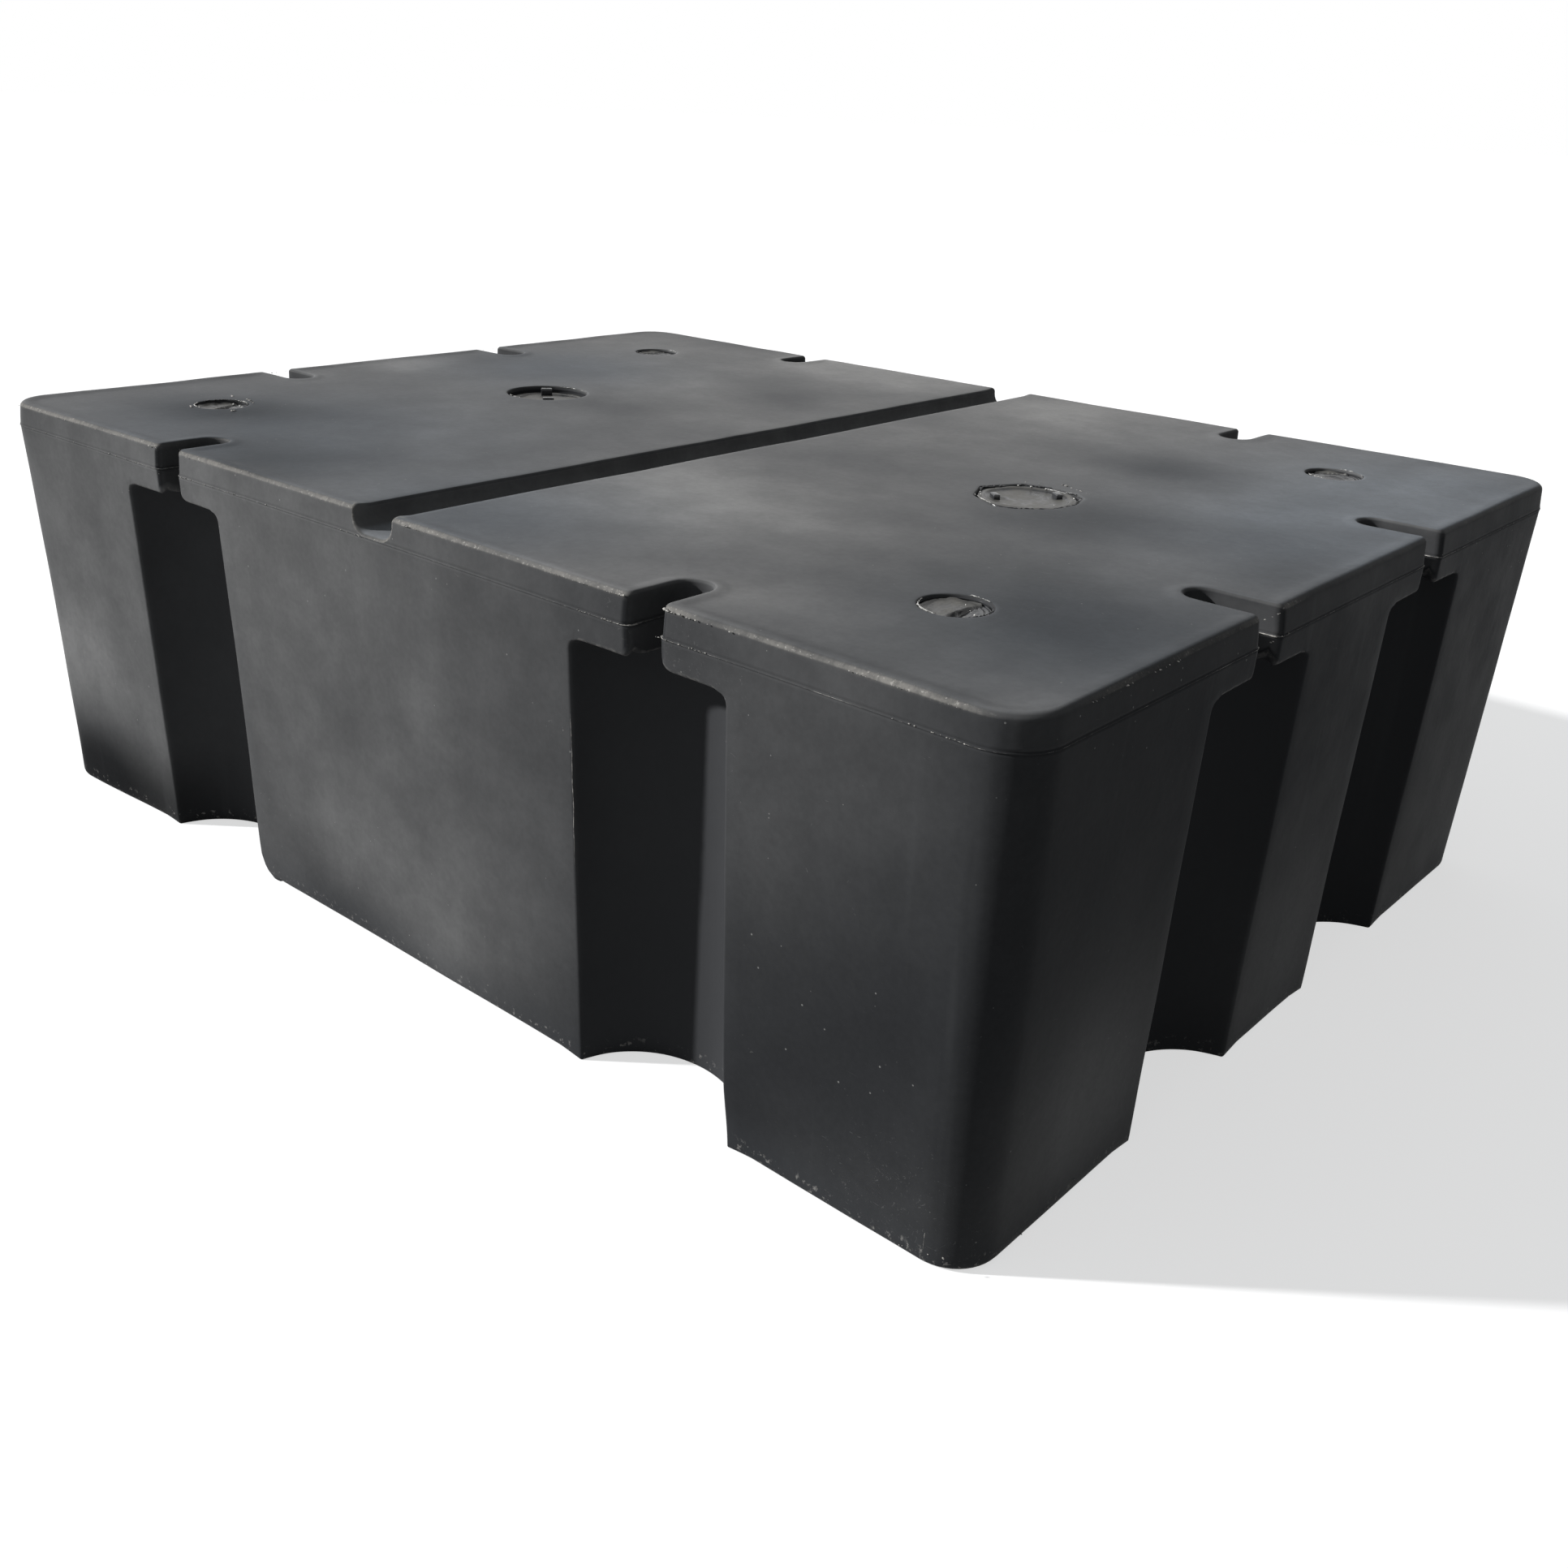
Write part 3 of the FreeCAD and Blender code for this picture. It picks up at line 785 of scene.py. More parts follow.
@dataclass
class CornerStretch(Stretch):
    """The round corner that follows a side."""

    def __post_init__(self) -> None:
        """Thirteen columns round the corner."""
        self.settle(13)

    def low(self, z: float, turn: float) -> np.ndarray:
        """Points below the ceiling: rows of run, out and Z."""
        return self.top(self.cove_z(z, turn, self.size.cove_radius)[0])

    def top(self, z: float) -> np.ndarray:
        """Points at a height.

        Args:
            z: Height.

        Returns:
            Rows of run, out and Z.
        """
        radius = self.size.corner_radius
        angle = np.linspace(0, math.pi / 2, self.count)
        run = self.side.half_run - self.size.draw(z) - radius + radius * np.sin(angle)
        return self.rows(run, self.wall(z) - radius + radius * np.cos(angle), z)


@dataclass(frozen=True)
class Groove:
    """Strap groove across the deck: a U with a round floor, opened out at both ends."""

    half_width: float = 24
    depth: float = 21
    floor_radius: float = 13
    edge_reach: float = 2.5
    end_flare: float = 2.6
    end_length: float = 5
    clear: float = 20
    step: float = 13

    def profile(self, size: Moulding, flare: float) -> np.ndarray:
        """The section from the deck on the left, over the floor, to the deck on the right.

        Args:
            size: The moulding's sizes.
            flare: How far the section is opened out.

        Returns:
            Rows of distance from the middle and Z.
        """
        start = size.height - size.rim_radius
        half = []
        for z in size.rim_levels()[::-1]:
            share = (z - start) / size.rim_radius
            rounding = self.edge_reach * (1 - math.sqrt(max(0.0, 1 - share ** 2)))
            half.append((self.half_width + rounding + flare, z))
        centre_z = size.height - self.depth + self.floor_radius
        centre_x = self.half_width - self.floor_radius
        radius = self.floor_radius + flare
        for angle in np.linspace(0, math.pi / 2, 8):
            half.append((centre_x + radius * math.cos(angle), centre_z - radius * math.sin(angle)))
        half += [(centre_x * share, centre_z - radius) for share in (0.66, 0.33, 0.0)]
        return np.array([(-x, z) for x, z in half] + half[:-1][::-1])


@dataclass
class GrooveStretch(Stretch):
    """Wall columns under the groove's open end, each cut off at the groove's section."""

    section: np.ndarray

    def __post_init__(self) -> None:
        """One column for each place of the section across the side."""
        self.settle(len(self.section), clip=self.section[:, 1])

    def low(self, z: float, turn: float) -> np.ndarray:
        """Points below the ceiling: rows of run, out and Z."""
        height = self.cove_z(z, turn, self.size.cove_radius)
        return self.rows(self.section[:, 0], self.wall(height[0]), height)

    def top(self, z: float) -> np.ndarray:
        """Points above the ceiling: rows of run, out and Z."""
        return self.rows(self.section[:, 0], self.wall(z), z)


@dataclass(frozen=True)
class Well:
    """A plug well in the deck, round below and round or many-sided at the rim."""

    x: float
    y: float
    radius: float
    depth: float
    recess: float
    corners: tuple[tuple[float, float], ...] = ()
    edge: float = 1.6
    steps: int = 96
    ledge: float = 0.4

    def rim_radius(self, angle: float) -> float:
        """Distance of the rim from the middle, on a straight line between two corners.

        Args:
            angle: Direction in radians.

        Returns:
            The distance.
        """
        for i, (turn, near) in enumerate(self.corners):
            after, far = self.corners[(i + 1) % len(self.corners)]
            width = math.radians(after - turn) % (2 * math.pi)
            part = (angle - math.radians(turn)) % (2 * math.pi)
            if part <= width:
                return near * far * math.sin(width) / (near * math.sin(part) + far * math.sin(width - part))
        return self.radius

    def outline(self, spread: float, share: float = 1.0) -> list[tuple[float, float]]:
        """The well's outline, opened out by a distance.

        Args:
            spread: Distance outside the well's wall.
            share: 1 for the rim's own outline, 0 for the round one below.

        Returns:
            X and Y of each point, anticlockwise.
        """
        rim = []
        for i in range(self.steps):
            angle = 2 * math.pi * i / self.steps
            radius = self.radius + (self.rim_radius(angle) - self.radius) * share + spread
            rim.append((self.x + radius * math.cos(angle), self.y + radius * math.sin(angle)))
        return rim

    def covers(self, x: float, y: float) -> bool:
        """Tell if a place lies inside the well's outermost rim.

        Args:
            x: Its X.
            y: Its Y.

        Returns:
            True if it does.
        """
        if math.hypot(x - self.x, y - self.y) > self.radius + self.edge + 12:
            return False
        rim = self.outline(self.edge)
        inside = False
        for (ax, ay), (bx, by) in zip(rim, rim[1:] + rim[:1]):
            if (ay > y) != (by > y) and x < ax + (bx - ax) * (y - ay) / (by - ay):
                inside = not inside
        return inside

    def add(self, mesh: MeshDraft, top: float) -> list[int]:
        """Lay the rim, the wall with its faint step, and the floor.

        Args:
            mesh: The mesh to add to.
            top: Height of the deck.

        Returns:
            Point numbers of the rim on the deck.
        """
        def lay(z: float, outline: list[tuple[float, float]], **masks: float) -> list[int]:
            """One ring at a height."""
            return mesh.row([(x, y, z) for x, y in outline], masks)

        rows = []
        for turn in np.radians([90, 60, 30, 0]):
            outline = self.outline(self.edge * (1 - math.cos(turn)))
            rows.append(lay(top - self.edge * (1 - math.sin(turn)), outline, rim=0.12, melt=0.3))
        # Share of the recess, spread, and share of the rim's own outline
        walls = (
            (0.42, 0.0, 0.6), (0.5, -self.ledge, 0.4), (0.62, -self.ledge, 0.3), (0.7, 0.0, 0.2),
            (0.95, 0.0, 0.0),
        )
        for part, spread, share in walls:
            outline = self.outline(spread, share)
            # Painted shade down the well's wall, darkest at its floor
            rows.append(lay(top - self.recess * part, outline, nook=0.55 + 0.4 * part, melt=1.0))
        rows.append(lay(top - self.depth, self.outline(0, 0), nook=1.0))
        mesh.grid(rows)
        mesh.cap(rows[-1], True)
        return rows[0]


@dataclass(frozen=True)
class Settling:
    """How the cooled moulding has drawn in and been knocked, all inside its box."""

    front_hollow_seam: float = 7.5
    front_hollow_foot: float = 3.5
    back_hollow: float = 4
    end_hollow: float = 2.5
    reach: float = 190
    foot_bow_out: float = 8
    foot_bow_along: float = 7
    lean: float = 7
    lean_place: float = 352
    lean_height: float = 95
    inner_foot: float = 229
    corner_round: float = 26
    ripple: float = 0.7
    deck_ripple: float = 0.9
    deck_drop: float = 0.9
    headroom: float = 0.1
    crease: float = 1.2
    crease_reach: float = 10
    well_calm: float = 45
    margin: float = 0.6

    def apply(self, points: np.ndarray, size: Moulding, ring: np.ndarray,
              wells: Sequence[Well]) -> np.ndarray:
        """Move every point a little.

        Args:
            points: Rows of X, Y and Z in millimetres.
            size: The moulding's sizes.
            ring: Points of the deck's edge.
            wells: The plug wells, which the deck doesn't sink round.

        Returns:
            The moved rows.
        """
        moved = points.copy()
        wave = np.array([noise.noise_vector(Vector(p) / 130) + noise.noise_vector(Vector(p) / 45) * 0.3
                         for p in points])
        self.draw_in(moved, points, size)
        self.bend_foot(moved, points, size)
        moved[:, :2] += wave[:, :2] * self.ripple * ease((size.height - 6 - points[:, 2]) / 10)[:, None]
        self.sink_deck(moved, points, size, ring, wells, wave[:, 2])
        limit = np.array([size.half_length - self.margin, size.half_width - self.margin])
        moved[:, :2] = np.clip(moved[:, :2], -limit, limit)
        return moved

    def draw_in(self, moved: np.ndarray, points: np.ndarray, size: Moulding) -> None:
        """Draw the walls hollow between their corners.

        Args:
            moved: Rows to change.
            points: Rows as they were.
            size: The moulding's sizes.
        """
        x, y, z = points.T
        along = 1 - (x / size.half_length) ** 2
        across = 1 - (y / size.half_width) ** 2
        high = np.clip(z / size.parting, 0, 1)
        near_front = ease((-y - size.half_width + self.reach) / self.reach)
        near_back = ease((y - size.half_width + self.reach) / self.reach)
        hollow = self.front_hollow_foot + (self.front_hollow_seam - self.front_hollow_foot) * high
        moved[:, 1] += near_front * hollow * along - near_back * self.back_hollow * along
        for sign in (-1, 1):
            near = ease((sign * x - size.half_length + self.reach) / self.reach)
            moved[:, 0] -= sign * near * self.end_hollow * across

    def bend_foot(self, moved: np.ndarray, points: np.ndarray, size: Moulding) -> None:
        """Bow the left block's foot out, and lean and round the foot beside the channels.

        Args:
            moved: Rows to change.
            points: Rows as they were.
            size: The moulding's sizes.
        """
        x, y, z = points.T
        low = (1 - np.clip(z / size.parting, 0, 1)) ** 2
        left_corner = ease((-x - 350) / 240) * ease((-y - 250) / 190)
        moved[:, 1] -= left_corner * low * self.foot_bow_out
        moved[:, 0] += left_corner * low * self.foot_bow_along * ease((-y - 380) / 60)
        knee = ease((self.lean_height - z) / self.lean_height) ** 2
        by_channel = ease(1 - np.abs(x - self.lean_place) / 90) * ease((-y - 330) / 100)
        moved[:, 0] += knee * by_channel * self.lean
        inner = ease(1 - (x + self.inner_foot) / 34) * (x > -self.inner_foot - 3) * ease((-y - 400) / 40)
        drop = np.clip(self.corner_round - z, 0, self.corner_round)
        moved[:, 0] += inner * (self.corner_round - np.sqrt(self.corner_round ** 2 - drop ** 2))

    def sink_deck(self, moved: np.ndarray, points: np.ndarray, size: Moulding, ring: np.ndarray,
                  wells: Sequence[Well], wave: np.ndarray) -> None:
        """Crease, ripple and lower the deck, which leaves room above it for drops.

        Args:
            moved: Rows to change.
            points: Rows as they were.
            size: The moulding's sizes.
            ring: Points of the deck's edge.
            wells: The plug wells.
            wave: A ripple for each row.
        """
        x, y, z = points.T
        deck = ease((z - size.height + 8) / 8)
        high_up = np.flatnonzero(deck > 0)
        sink = np.zeros(len(points))
        inward = edge_distance(points[high_up, :2], ring[:, :2])
        sink[high_up] = self.crease * ease((inward - 1.5) / self.crease_reach)
        sink += np.abs(wave) * self.deck_ripple
        for well in wells:
            sink *= ease((np.hypot(x - well.x, y - well.y) - well.radius) / self.well_calm)
        moved[:, 2] = np.minimum(moved[:, 2] - deck * (sink + self.deck_drop), size.height - self.headroom)


@dataclass(frozen=True)
class Flash:
    """Ragged fin of plastic left where the halves of the mould met."""

    step: float = 1.9
    root_in: float = 0.5
    root_half: float = 0.55
    least: float = 0.55
    wander: float = 0.35
    outer_limit: float = 1.15
    slot_limit: float = 3.4
    slot_extra: float = 2.4
    # Where the near corner's seam is worn bright, and how far round it
    bright: tuple[float, float, float] = (575, -450, 45)

    def add(self, mesh: MeshDraft, ring: np.ndarray, normals: np.ndarray, height: float,
            mouths: np.ndarray, inside: np.ndarray) -> None:
        """Run the fin round the float.

        Args:
            mesh: The mesh to add to.
            ring: Points of the parting line.
            normals: Outward directions there.
            height: Height of the parting line.
            mouths: Places of the slots' mouth corners.
            inside: Share of each point that lies within a slot.
        """
        closed = np.vstack((ring[:, :2], ring[:1, :2]))
        lengths = np.concatenate(([0.0], np.cumsum(np.linalg.norm(np.diff(closed, axis=0), axis=1))))
        stations = np.arange(round(lengths[-1] / self.step)) * lengths[-1] / round(lengths[-1] / self.step)
        ways = np.vstack((normals, normals[:1]))
        place = np.column_stack([np.interp(stations, lengths, closed[:, k]) for k in (0, 1)])
        way = unit(np.column_stack([np.interp(stations, lengths, ways[:, k]) for k in (0, 1)]))
        share = np.interp(stations, lengths, np.append(inside, inside[0]))
        bright_x, bright_y, bright_reach = self.bright
        rows = []
        for s, (x, y), (nx, ny), slot in zip(stations, place, way, share):
            ragged = wobble(s / 7, 5, 2)
            torn = wobble(s / 3.2, 9, 4)
            from_mouth = float(np.min(np.hypot(mouths[:, 0] - x, mouths[:, 1] - y)))
            near = math.exp(-from_mouth / 9)
            near_mouth = math.exp(-from_mouth / 45)
            tip = self.least * (0.6 + 0.6 * near_mouth) + 0.4 * max(0.0, wobble(s / 60, 0, 1) + 0.2)
            tip += 0.45 * max(0.0, ragged) + 0.35 * max(0.0, torn)
            limit = self.outer_limit + (self.slot_limit - self.outer_limit) * slot
            tip = min(limit, tip + self.slot_extra * near * slot * (0.5 + max(0.0, ragged + torn)))
            lift = self.wander * wobble(s / 14, 3, 7) + 0.5 * near * torn
            patchy = wobble(s / 32, 12, 3) + 0.5 * wobble(s / 5, 4, 8)
            patchy += 0.7 * math.exp(-((x - bright_x) ** 2 + (y - bright_y) ** 2) / bright_reach ** 2)
            worn_and_glint = min(1.0, max(0.12, 0.4 + 0.45 * near_mouth + 0.75 * patchy))
            section = ((-self.root_in, self.root_half), (tip, lift), (-self.root_in, -self.root_half))
            places = [(x + nx * out, y + ny * out, height + up) for out, up in section]
            rows.append(mesh.row(places, {"seam": worn_and_glint}))
        mesh.grid([*rows, rows[0]])


@dataclass(frozen=True)
class Burrs:
    """Small torn drops of plastic along worn edges, pale partly as painted glints, and raised hairs where a
    wall was scored.
    """

    hair_steps: int = 15
    hair_sides: int = 6

    def add(self, mesh: MeshDraft) -> None:
        """Lay every drop and hair.

        Args:
            mesh: The mesh to add to.
        """
        for start, end, count, size in DROP_RUNS:
            for _ in range(count):
                place = np.array(start) + (np.array(end) - start) * random.random() ** 0.9
                place[2] += random.uniform(-0.4, 0.4)
                radius, squash = size * random.uniform(0.5, 1.3), random.uniform(0.5, 0.9)
                mesh.bead(place, radius, squash, {"seam": random.uniform(0.7, 1.0)})
        for path, thick in HAIRS:
            self.add_hair(mesh, np.array(path), thick)

    def add_hair(self, mesh: MeshDraft, line: np.ndarray, thick: float) -> None:
        """Lay one hair, from its top down.

        Args:
            mesh: The mesh to add to.
            line: Rows of X, Y and Z along it.
            thick: Its thickness.
        """
        shares = np.linspace(0, 1, self.hair_steps)
        knots = np.linspace(0, 1, len(line))
        places = np.column_stack([np.interp(shares, knots, line[:, k]) for k in range(3)])
        places[:, 0] += [random.uniform(-0.5, 0.5) for _ in shares]
        turns = [i * 2 * math.pi / self.hair_sides for i in range(self.hair_sides)]
        rows = []
        for (x, y, z), share in zip(places, shares):
            radius = thick * (0.25 + random.random()) * math.sin(math.pi * (0.05 + 0.9 * share))
            ring = [(x + radius * math.cos(a), y - radius * math.sin(a), z) for a in turns]
            rows.append(mesh.row(ring, {"seam": 0.8}))
        mesh.loft(rows)


@dataclass
class FloatBody:
    """The moulded float with its channels, lip, slots, groove and plug wells."""

    wells: list[Well]
    size: Moulding = Moulding()
    groove: Groove = Groove()
    settling: Settling = Settling()
    wall_step: float = 14
    deck_step: float = 11
    deck_margin: float = 15
    deck_room: float = 5
    foot_step: float = 45
    foot_margin: float = 30
    rim_wear: float = 0.2

    def sides(self) -> list[Side]:
        """The four sides, anticlockwise from the front."""
        size = self.size
        long_side = (size.half_length, size.half_width, size.long_pitch, size.long_slot_reach, True)
        short_side = (size.half_width, size.half_length, size.short_pitch, size.short_slot_reach, False)
        return [
            Side((1, 0), (0, -1), *long_side),
            Side((0, 1), (1, 0), *short_side),
            Side((-1, 0), (0, 1), *long_side),
            Side((0, -1), (-1, 0), *short_side),
        ]

    def stretches(self) -> list[Stretch]:
        """Every stretch of columns in order round the float."""
        size = self.size
        section = self.groove.profile(size, self.groove.end_flare)
        line: list[Stretch] = []
        for side in self.sides():
            corner = side.half_run - size.corner_radius
            before, after = -side.pitch / 2, side.pitch / 2
            inner = Anchor(before, 1, True), Anchor(after, -1, True)
            line.append(FaceStretch(size, side, Anchor(-corner, -1), Anchor(before, -1, True)))
            line += self.channel(side, before)
            if side.grooved:
                line.append(FaceStretch(size, side, inner[0], Anchor(section[0][0])))
                line.append(GrooveStretch(size, side, section))
                line.append(FaceStretch(size, side, Anchor(-section[0][0]), inner[1]))
            else:
                line.append(FaceStretch(size, side, *inner))
            line += self.channel(side, after)
            line.append(FaceStretch(size, side, Anchor(after, 1, True), Anchor(corner, 1)))
            line.append(CornerStretch(size, side))
        return line

    def channel(self, side: Side, middle: float) -> list[Stretch]:
        """An arris, a channel and its other arris."""
        arrises = [ArrisStretch(self.size, side, middle, hand) for hand in (-1, 1)]
        return [arrises[0], ChannelStretch(self.size, side, middle), arrises[1]]

    def ring(self, line: Sequence[Stretch], pick: Callable[[Stretch], np.ndarray]) -> np.ndarray:
        """One ring of points round the float."""
        return np.vstack([stretch.side.plan(pick(stretch)) for stretch in line])

    @staticmethod
    def normals(ring: np.ndarray) -> np.ndarray:
        """Outward directions in plan of a ring's points.

        Args:
            ring: Rows of X, Y and Z.

        Returns:
            Rows of X and Y.
        """
        ahead = unit(np.roll(ring, -1, axis=0)[:, :2] - ring[:, :2])
        way = unit(ahead + np.roll(ahead, 1, axis=0))
        return np.column_stack((way[:, 1], -way[:, 0]))

    def build_walls(self, mesh: MeshDraft, line: list[Stretch]) -> tuple[list[int], list[int], np.ndarray]:
        """Lay the wall's rings from the foot to the deck.

        Args:
            mesh: The mesh to add to.
            line: The stretches of columns.

        Returns:
            Point numbers of the foot ring and the deck ring, and each column's cut-off height.
        """
        size = self.size
        traits = {name: np.concatenate([s.traits[name] for s in line]) for name in line[0].traits}
        deep = traits["deep"]
        rows: list[list[int]] = []

        def add(points: np.ndarray, **masks: np.ndarray | float) -> None:
            """Add a ring with its masks."""
            columns = [np.broadcast_to(value, len(points)) for value in masks.values()]
            rows.append([mesh.point(p, dict(zip(masks, values))) for p, *values in zip(points, *columns)])

        low_normals = self.normals(self.ring(line, lambda s: s.low(120, 0)))
        for turn in np.radians([0, 22.5, 45, 67.5]):
            ring = self.ring(line, lambda s: s.low(0, 0))
            ring[:, :2] -= low_normals * (traits["foot"] * (1 - math.sin(turn)))[:, None]
            ring[:, 2] = traits["foot"] * (1 - math.cos(turn))
            add(ring, foot=1.0, nook=deep)
        top_of_wall = size.ceiling - size.cove_radius
        levels = np.linspace(size.foot_radius + 15, top_of_wall, round(top_of_wall / self.wall_step))
        for z in (size.foot_radius, size.foot_radius + 5, *levels):
            foot = float(ease(1 - (z - size.foot_radius) / 40))
            # Painted shade inside the channels and beside each arris
            nook = np.maximum(deep, 0.45 * traits["edge"])
            add(self.ring(line, lambda s: s.low(z, 0)), foot=foot, nook=nook)
        for turn in np.radians([22.5, 45, 67.5, 90]):
            add(self.ring(line, lambda s: s.low(0, turn)), nook=deep)
        top_normals = self.normals(self.ring(line, lambda s: s.top(size.height - 10)))

        def lip_ring(turn: float) -> np.ndarray:
            """A ring round the lip's lower edge.

            Args:
                turn: Angle round the edge, 0 on its underside.

            Returns:
                Rows of X, Y and Z.
            """
            ring = self.ring(line, lambda s: s.top(size.ceiling))
            ring[:, :2] -= top_normals * (traits["lip"] * (1 - math.sin(turn)))[:, None]
            ring[:, 2] += traits["lip"] * (1 - math.cos(turn))
            ring[:, 2] += traits["lift"] * (0.6 + 0.4 * math.sin(turn))
            return ring

        add((self.ring(line, lambda s: s.low(0, math.pi / 2)) + lip_ring(0)) / 2, nook=deep)
        for turn in np.radians([0, 22.5, 45, 67.5, 90]):
            worn_and_glint = (traits["lip"] > 1.5) * math.sin(2 * turn)
            add(lip_ring(turn), nook=deep * (1 - math.sin(turn)), lip=worn_and_glint)
        in_slot = ease((size.rim_radius - traits["rim"]) / 2)
        start = size.ceiling + size.lip_edge_radius + 4
        levels = [*np.linspace(start, size.parting - 5, 3), *(size.parting + np.array(size.seam_levels))]
        for z in (*levels, size.parting + 7, size.parting + 11.5, size.height - 8):
            ring = self.ring(line, lambda s: s.top(z))
            fade = (z - size.ceiling - 4) / (size.parting - 8 - size.ceiling)
            ring[:, 2] += traits["lift"] * max(0.0, 1 - fade)
            self.cut_off(ring, line, np.full(len(ring), -size.bead(z)), traits["clip"], top_normals)
            seam = 0.12 * (abs(z - size.parting) < 1)
            add(ring, nook=0.3 * in_slot, haze=0.3 * in_slot, seam=seam)
        for z in size.rim_levels():
            turn = math.asin((z - size.height + size.rim_radius) / size.rim_radius)
            ring = self.ring(line, lambda s: s.top(z))
            ring[:, 2] = size.height - traits["rim"] * (1 - math.sin(turn))
            self.cut_off(ring, line, traits["rim"] * (1 - math.cos(turn)), traits["clip"], top_normals)
            worn_and_glint = float(np.interp(math.degrees(turn), (0, 15, 45, 60, 90), (0.35, 1.0, 0.9, 0.35, 0.0)))
            add(ring, rim=worn_and_glint * (1 - 0.6 * in_slot), nook=0.3 * in_slot * (1 - math.sin(turn)))
        mesh.grid(rows)
        LOG.info("float wall: %d columns, %d rings", len(rows[0]), len(rows))
        seam = self.ring(line, lambda s: s.top(size.parting))
        Flash().add(mesh, seam, top_normals, size.parting, self.mouth_corners(), in_slot)
        return rows[0], rows[-1], traits["clip"]

    def mouth_corners(self) -> np.ndarray:
        """X and Y of both corners of every slot's mouth."""
        half = self.size.slot_half_above
        return np.vstack([
            side.plan(np.array([[middle + hand, side.reach - 5, 0.0]]))[:, :2]
            for side in self.sides()
            for middle in (-side.pitch / 2, side.pitch / 2)
            for hand in (-half, half)
        ])

    def cut_off(self, ring: np.ndarray, line: Sequence[Stretch], inset: np.ndarray, clip: np.ndarray,
                normals: np.ndarray) -> None:
        """Move a ring in by its insets, and hold the columns under the groove at its section.

        Args:
            ring: Points to change.
            line: The stretches of columns.
            inset: How far each point moves in.
            clip: Cut-off height of each column.
            normals: Outward direction of each column.
        """
        ring[:, :2] -= normals * inset[:, None]
        start = 0
        for stretch in line:
            if isinstance(stretch, GrooveStretch):
                for i, run in enumerate(stretch.section[:, 0], start):
                    ring[i] = self.mouth_point(stretch.side, run, min(ring[i, 2], clip[i]))
            start += stretch.count

    def mouth_point(self, side: Side, run: float, z: float) -> np.ndarray:
        """A point of the wall by the groove's open end."""
        out = side.reach - self.size.draw(z) + self.size.bead(z) - self.size.rim_inset(z)
        return side.plan(np.array([[run, out, z]]))[0]

    def build_groove(self, mesh: MeshDraft) -> tuple[list[int], list[int]]:
        """Lay the groove's strip from the front to the back.

        Args:
            mesh: The mesh to add to.

        Returns:
            Point numbers of its left and right deck edges, front to back.
        """
        size, groove = self.size, self.groove
        front, _, back, _ = self.sides()
        outer = groove.profile(size, groove.end_flare)

        def end_rows(side: Side, sign: int) -> list[list[int]]:
            """Rows that round one end over, from the wall inwards.

            Args:
                side: The side that the end opens in.
                sign: 1 where the section runs the side's way, -1 where it runs against it.

            Returns:
                Point numbers of each row.
            """
            made = []
            for turn in np.radians([0, 22.5, 45, 67.5, 90]):
                section = groove.profile(size, groove.end_flare * (1 - math.sin(turn)))
                row = []
                for (x, z), (_, wall_z) in zip(section, outer):
                    place = self.mouth_point(side, sign * x, wall_z)
                    place[1] -= side.out[1] * groove.end_length * (1 - math.cos(turn))
                    place[2] = z
                    row.append(mesh.point(place, {"rim": math.cos(turn) ** 2, "haze": 0.8 * math.sin(turn)}))
                made.append(row)
            return made

        rows = end_rows(front, 1)
        reach = size.half_width - groove.clear
        for y in np.linspace(-reach, reach, round(2 * reach / groove.step)):
            rows.append([
                mesh.point((x, y, z), {
                    "rim": 0.35 * float(size.height - 2.5 > z > size.height - 4.9),
                    "haze": 0.75 * float(z < size.height - 3),
                })
                for x, z in groove.profile(size, 0.0)
            ])
        rows += end_rows(back, -1)[::-1]
        mesh.grid(rows, closed=False)
        return [row[0] for row in rows], [row[-1] for row in rows]

    def build_deck(self, mesh: MeshDraft, ring: list[int], clip: np.ndarray, left: list[int],
                   right: list[int]) -> None:
        """Fill the deck on both sides of the groove, round the plug wells.

        Args:
            mesh: The mesh to add to.
            ring: The deck ring's point numbers.
            clip: Cut-off height of each column.
            left: The groove's left edge, front to back.
            right: The groove's right edge, front to back.
        """
        size = self.size
        deck = [n for n, z in zip(ring, clip) if z > size.height - 0.01]
        rims = [well.add(mesh, size.height) for well in self.wells]
        inner = [place for place in size.spread(self.deck_margin, self.deck_step) if self.open_deck(*place)]
        inner += self.edge_points(mesh, deck)
        for well in self.wells:
            inner += well.outline(well.edge + 2.5)[::2] + well.outline(well.edge + 6)[::2]
        for hand, edge in ((-1, left[::-1]), (1, right)):
            patch = [n for n in deck if mesh.points[n][0] * hand > 0]
            gap = [i for i, n in enumerate(patch) if self.gap_before(mesh, patch, i)]
            patch = patch[gap[0]:] + patch[:gap[0]] if gap else patch
            holes = [rim for rim, well in zip(rims, self.wells) if well.x * hand > 0]
            free = [(x, y, size.height) for x, y in inner if x * hand > 0]
            mesh.fill([self.close_loop(patch, edge), *holes], free, self.outside_wells, True)

    def edge_points(self, mesh: MeshDraft, deck: list[int]) -> list[tuple[float, float]]:
        """Free points in rows beside the deck's edge, where the crease runs.

        Args:
            mesh: The mesh with the deck ring.
            deck: The deck ring's point numbers.

        Returns:
            X and Y of each point.
        """
        size = self.size
        ring = np.array([mesh.points[n] for n in deck])
        found = []
        for inset in (3.5, 7.5, 12):
            places = ring[:, :2] - self.normals(ring) * inset
            for (x, y), gap in zip(places, edge_distance(places, ring[:, :2])):
                clear = abs(x) > self.groove.half_width + self.groove.edge_reach + 3
                if gap > inset * 0.93 and clear and abs(y) < size.half_width and abs(x) < size.half_length:
                    found.append((x, y))
        return found

    def gap_before(self, mesh: MeshDraft, patch: list[int], i: int) -> bool:
        """True if the ring jumps over the groove before a point."""
        return abs(mesh.points[patch[i]][1] - mesh.points[patch[i - 1]][1]) > self.size.half_width

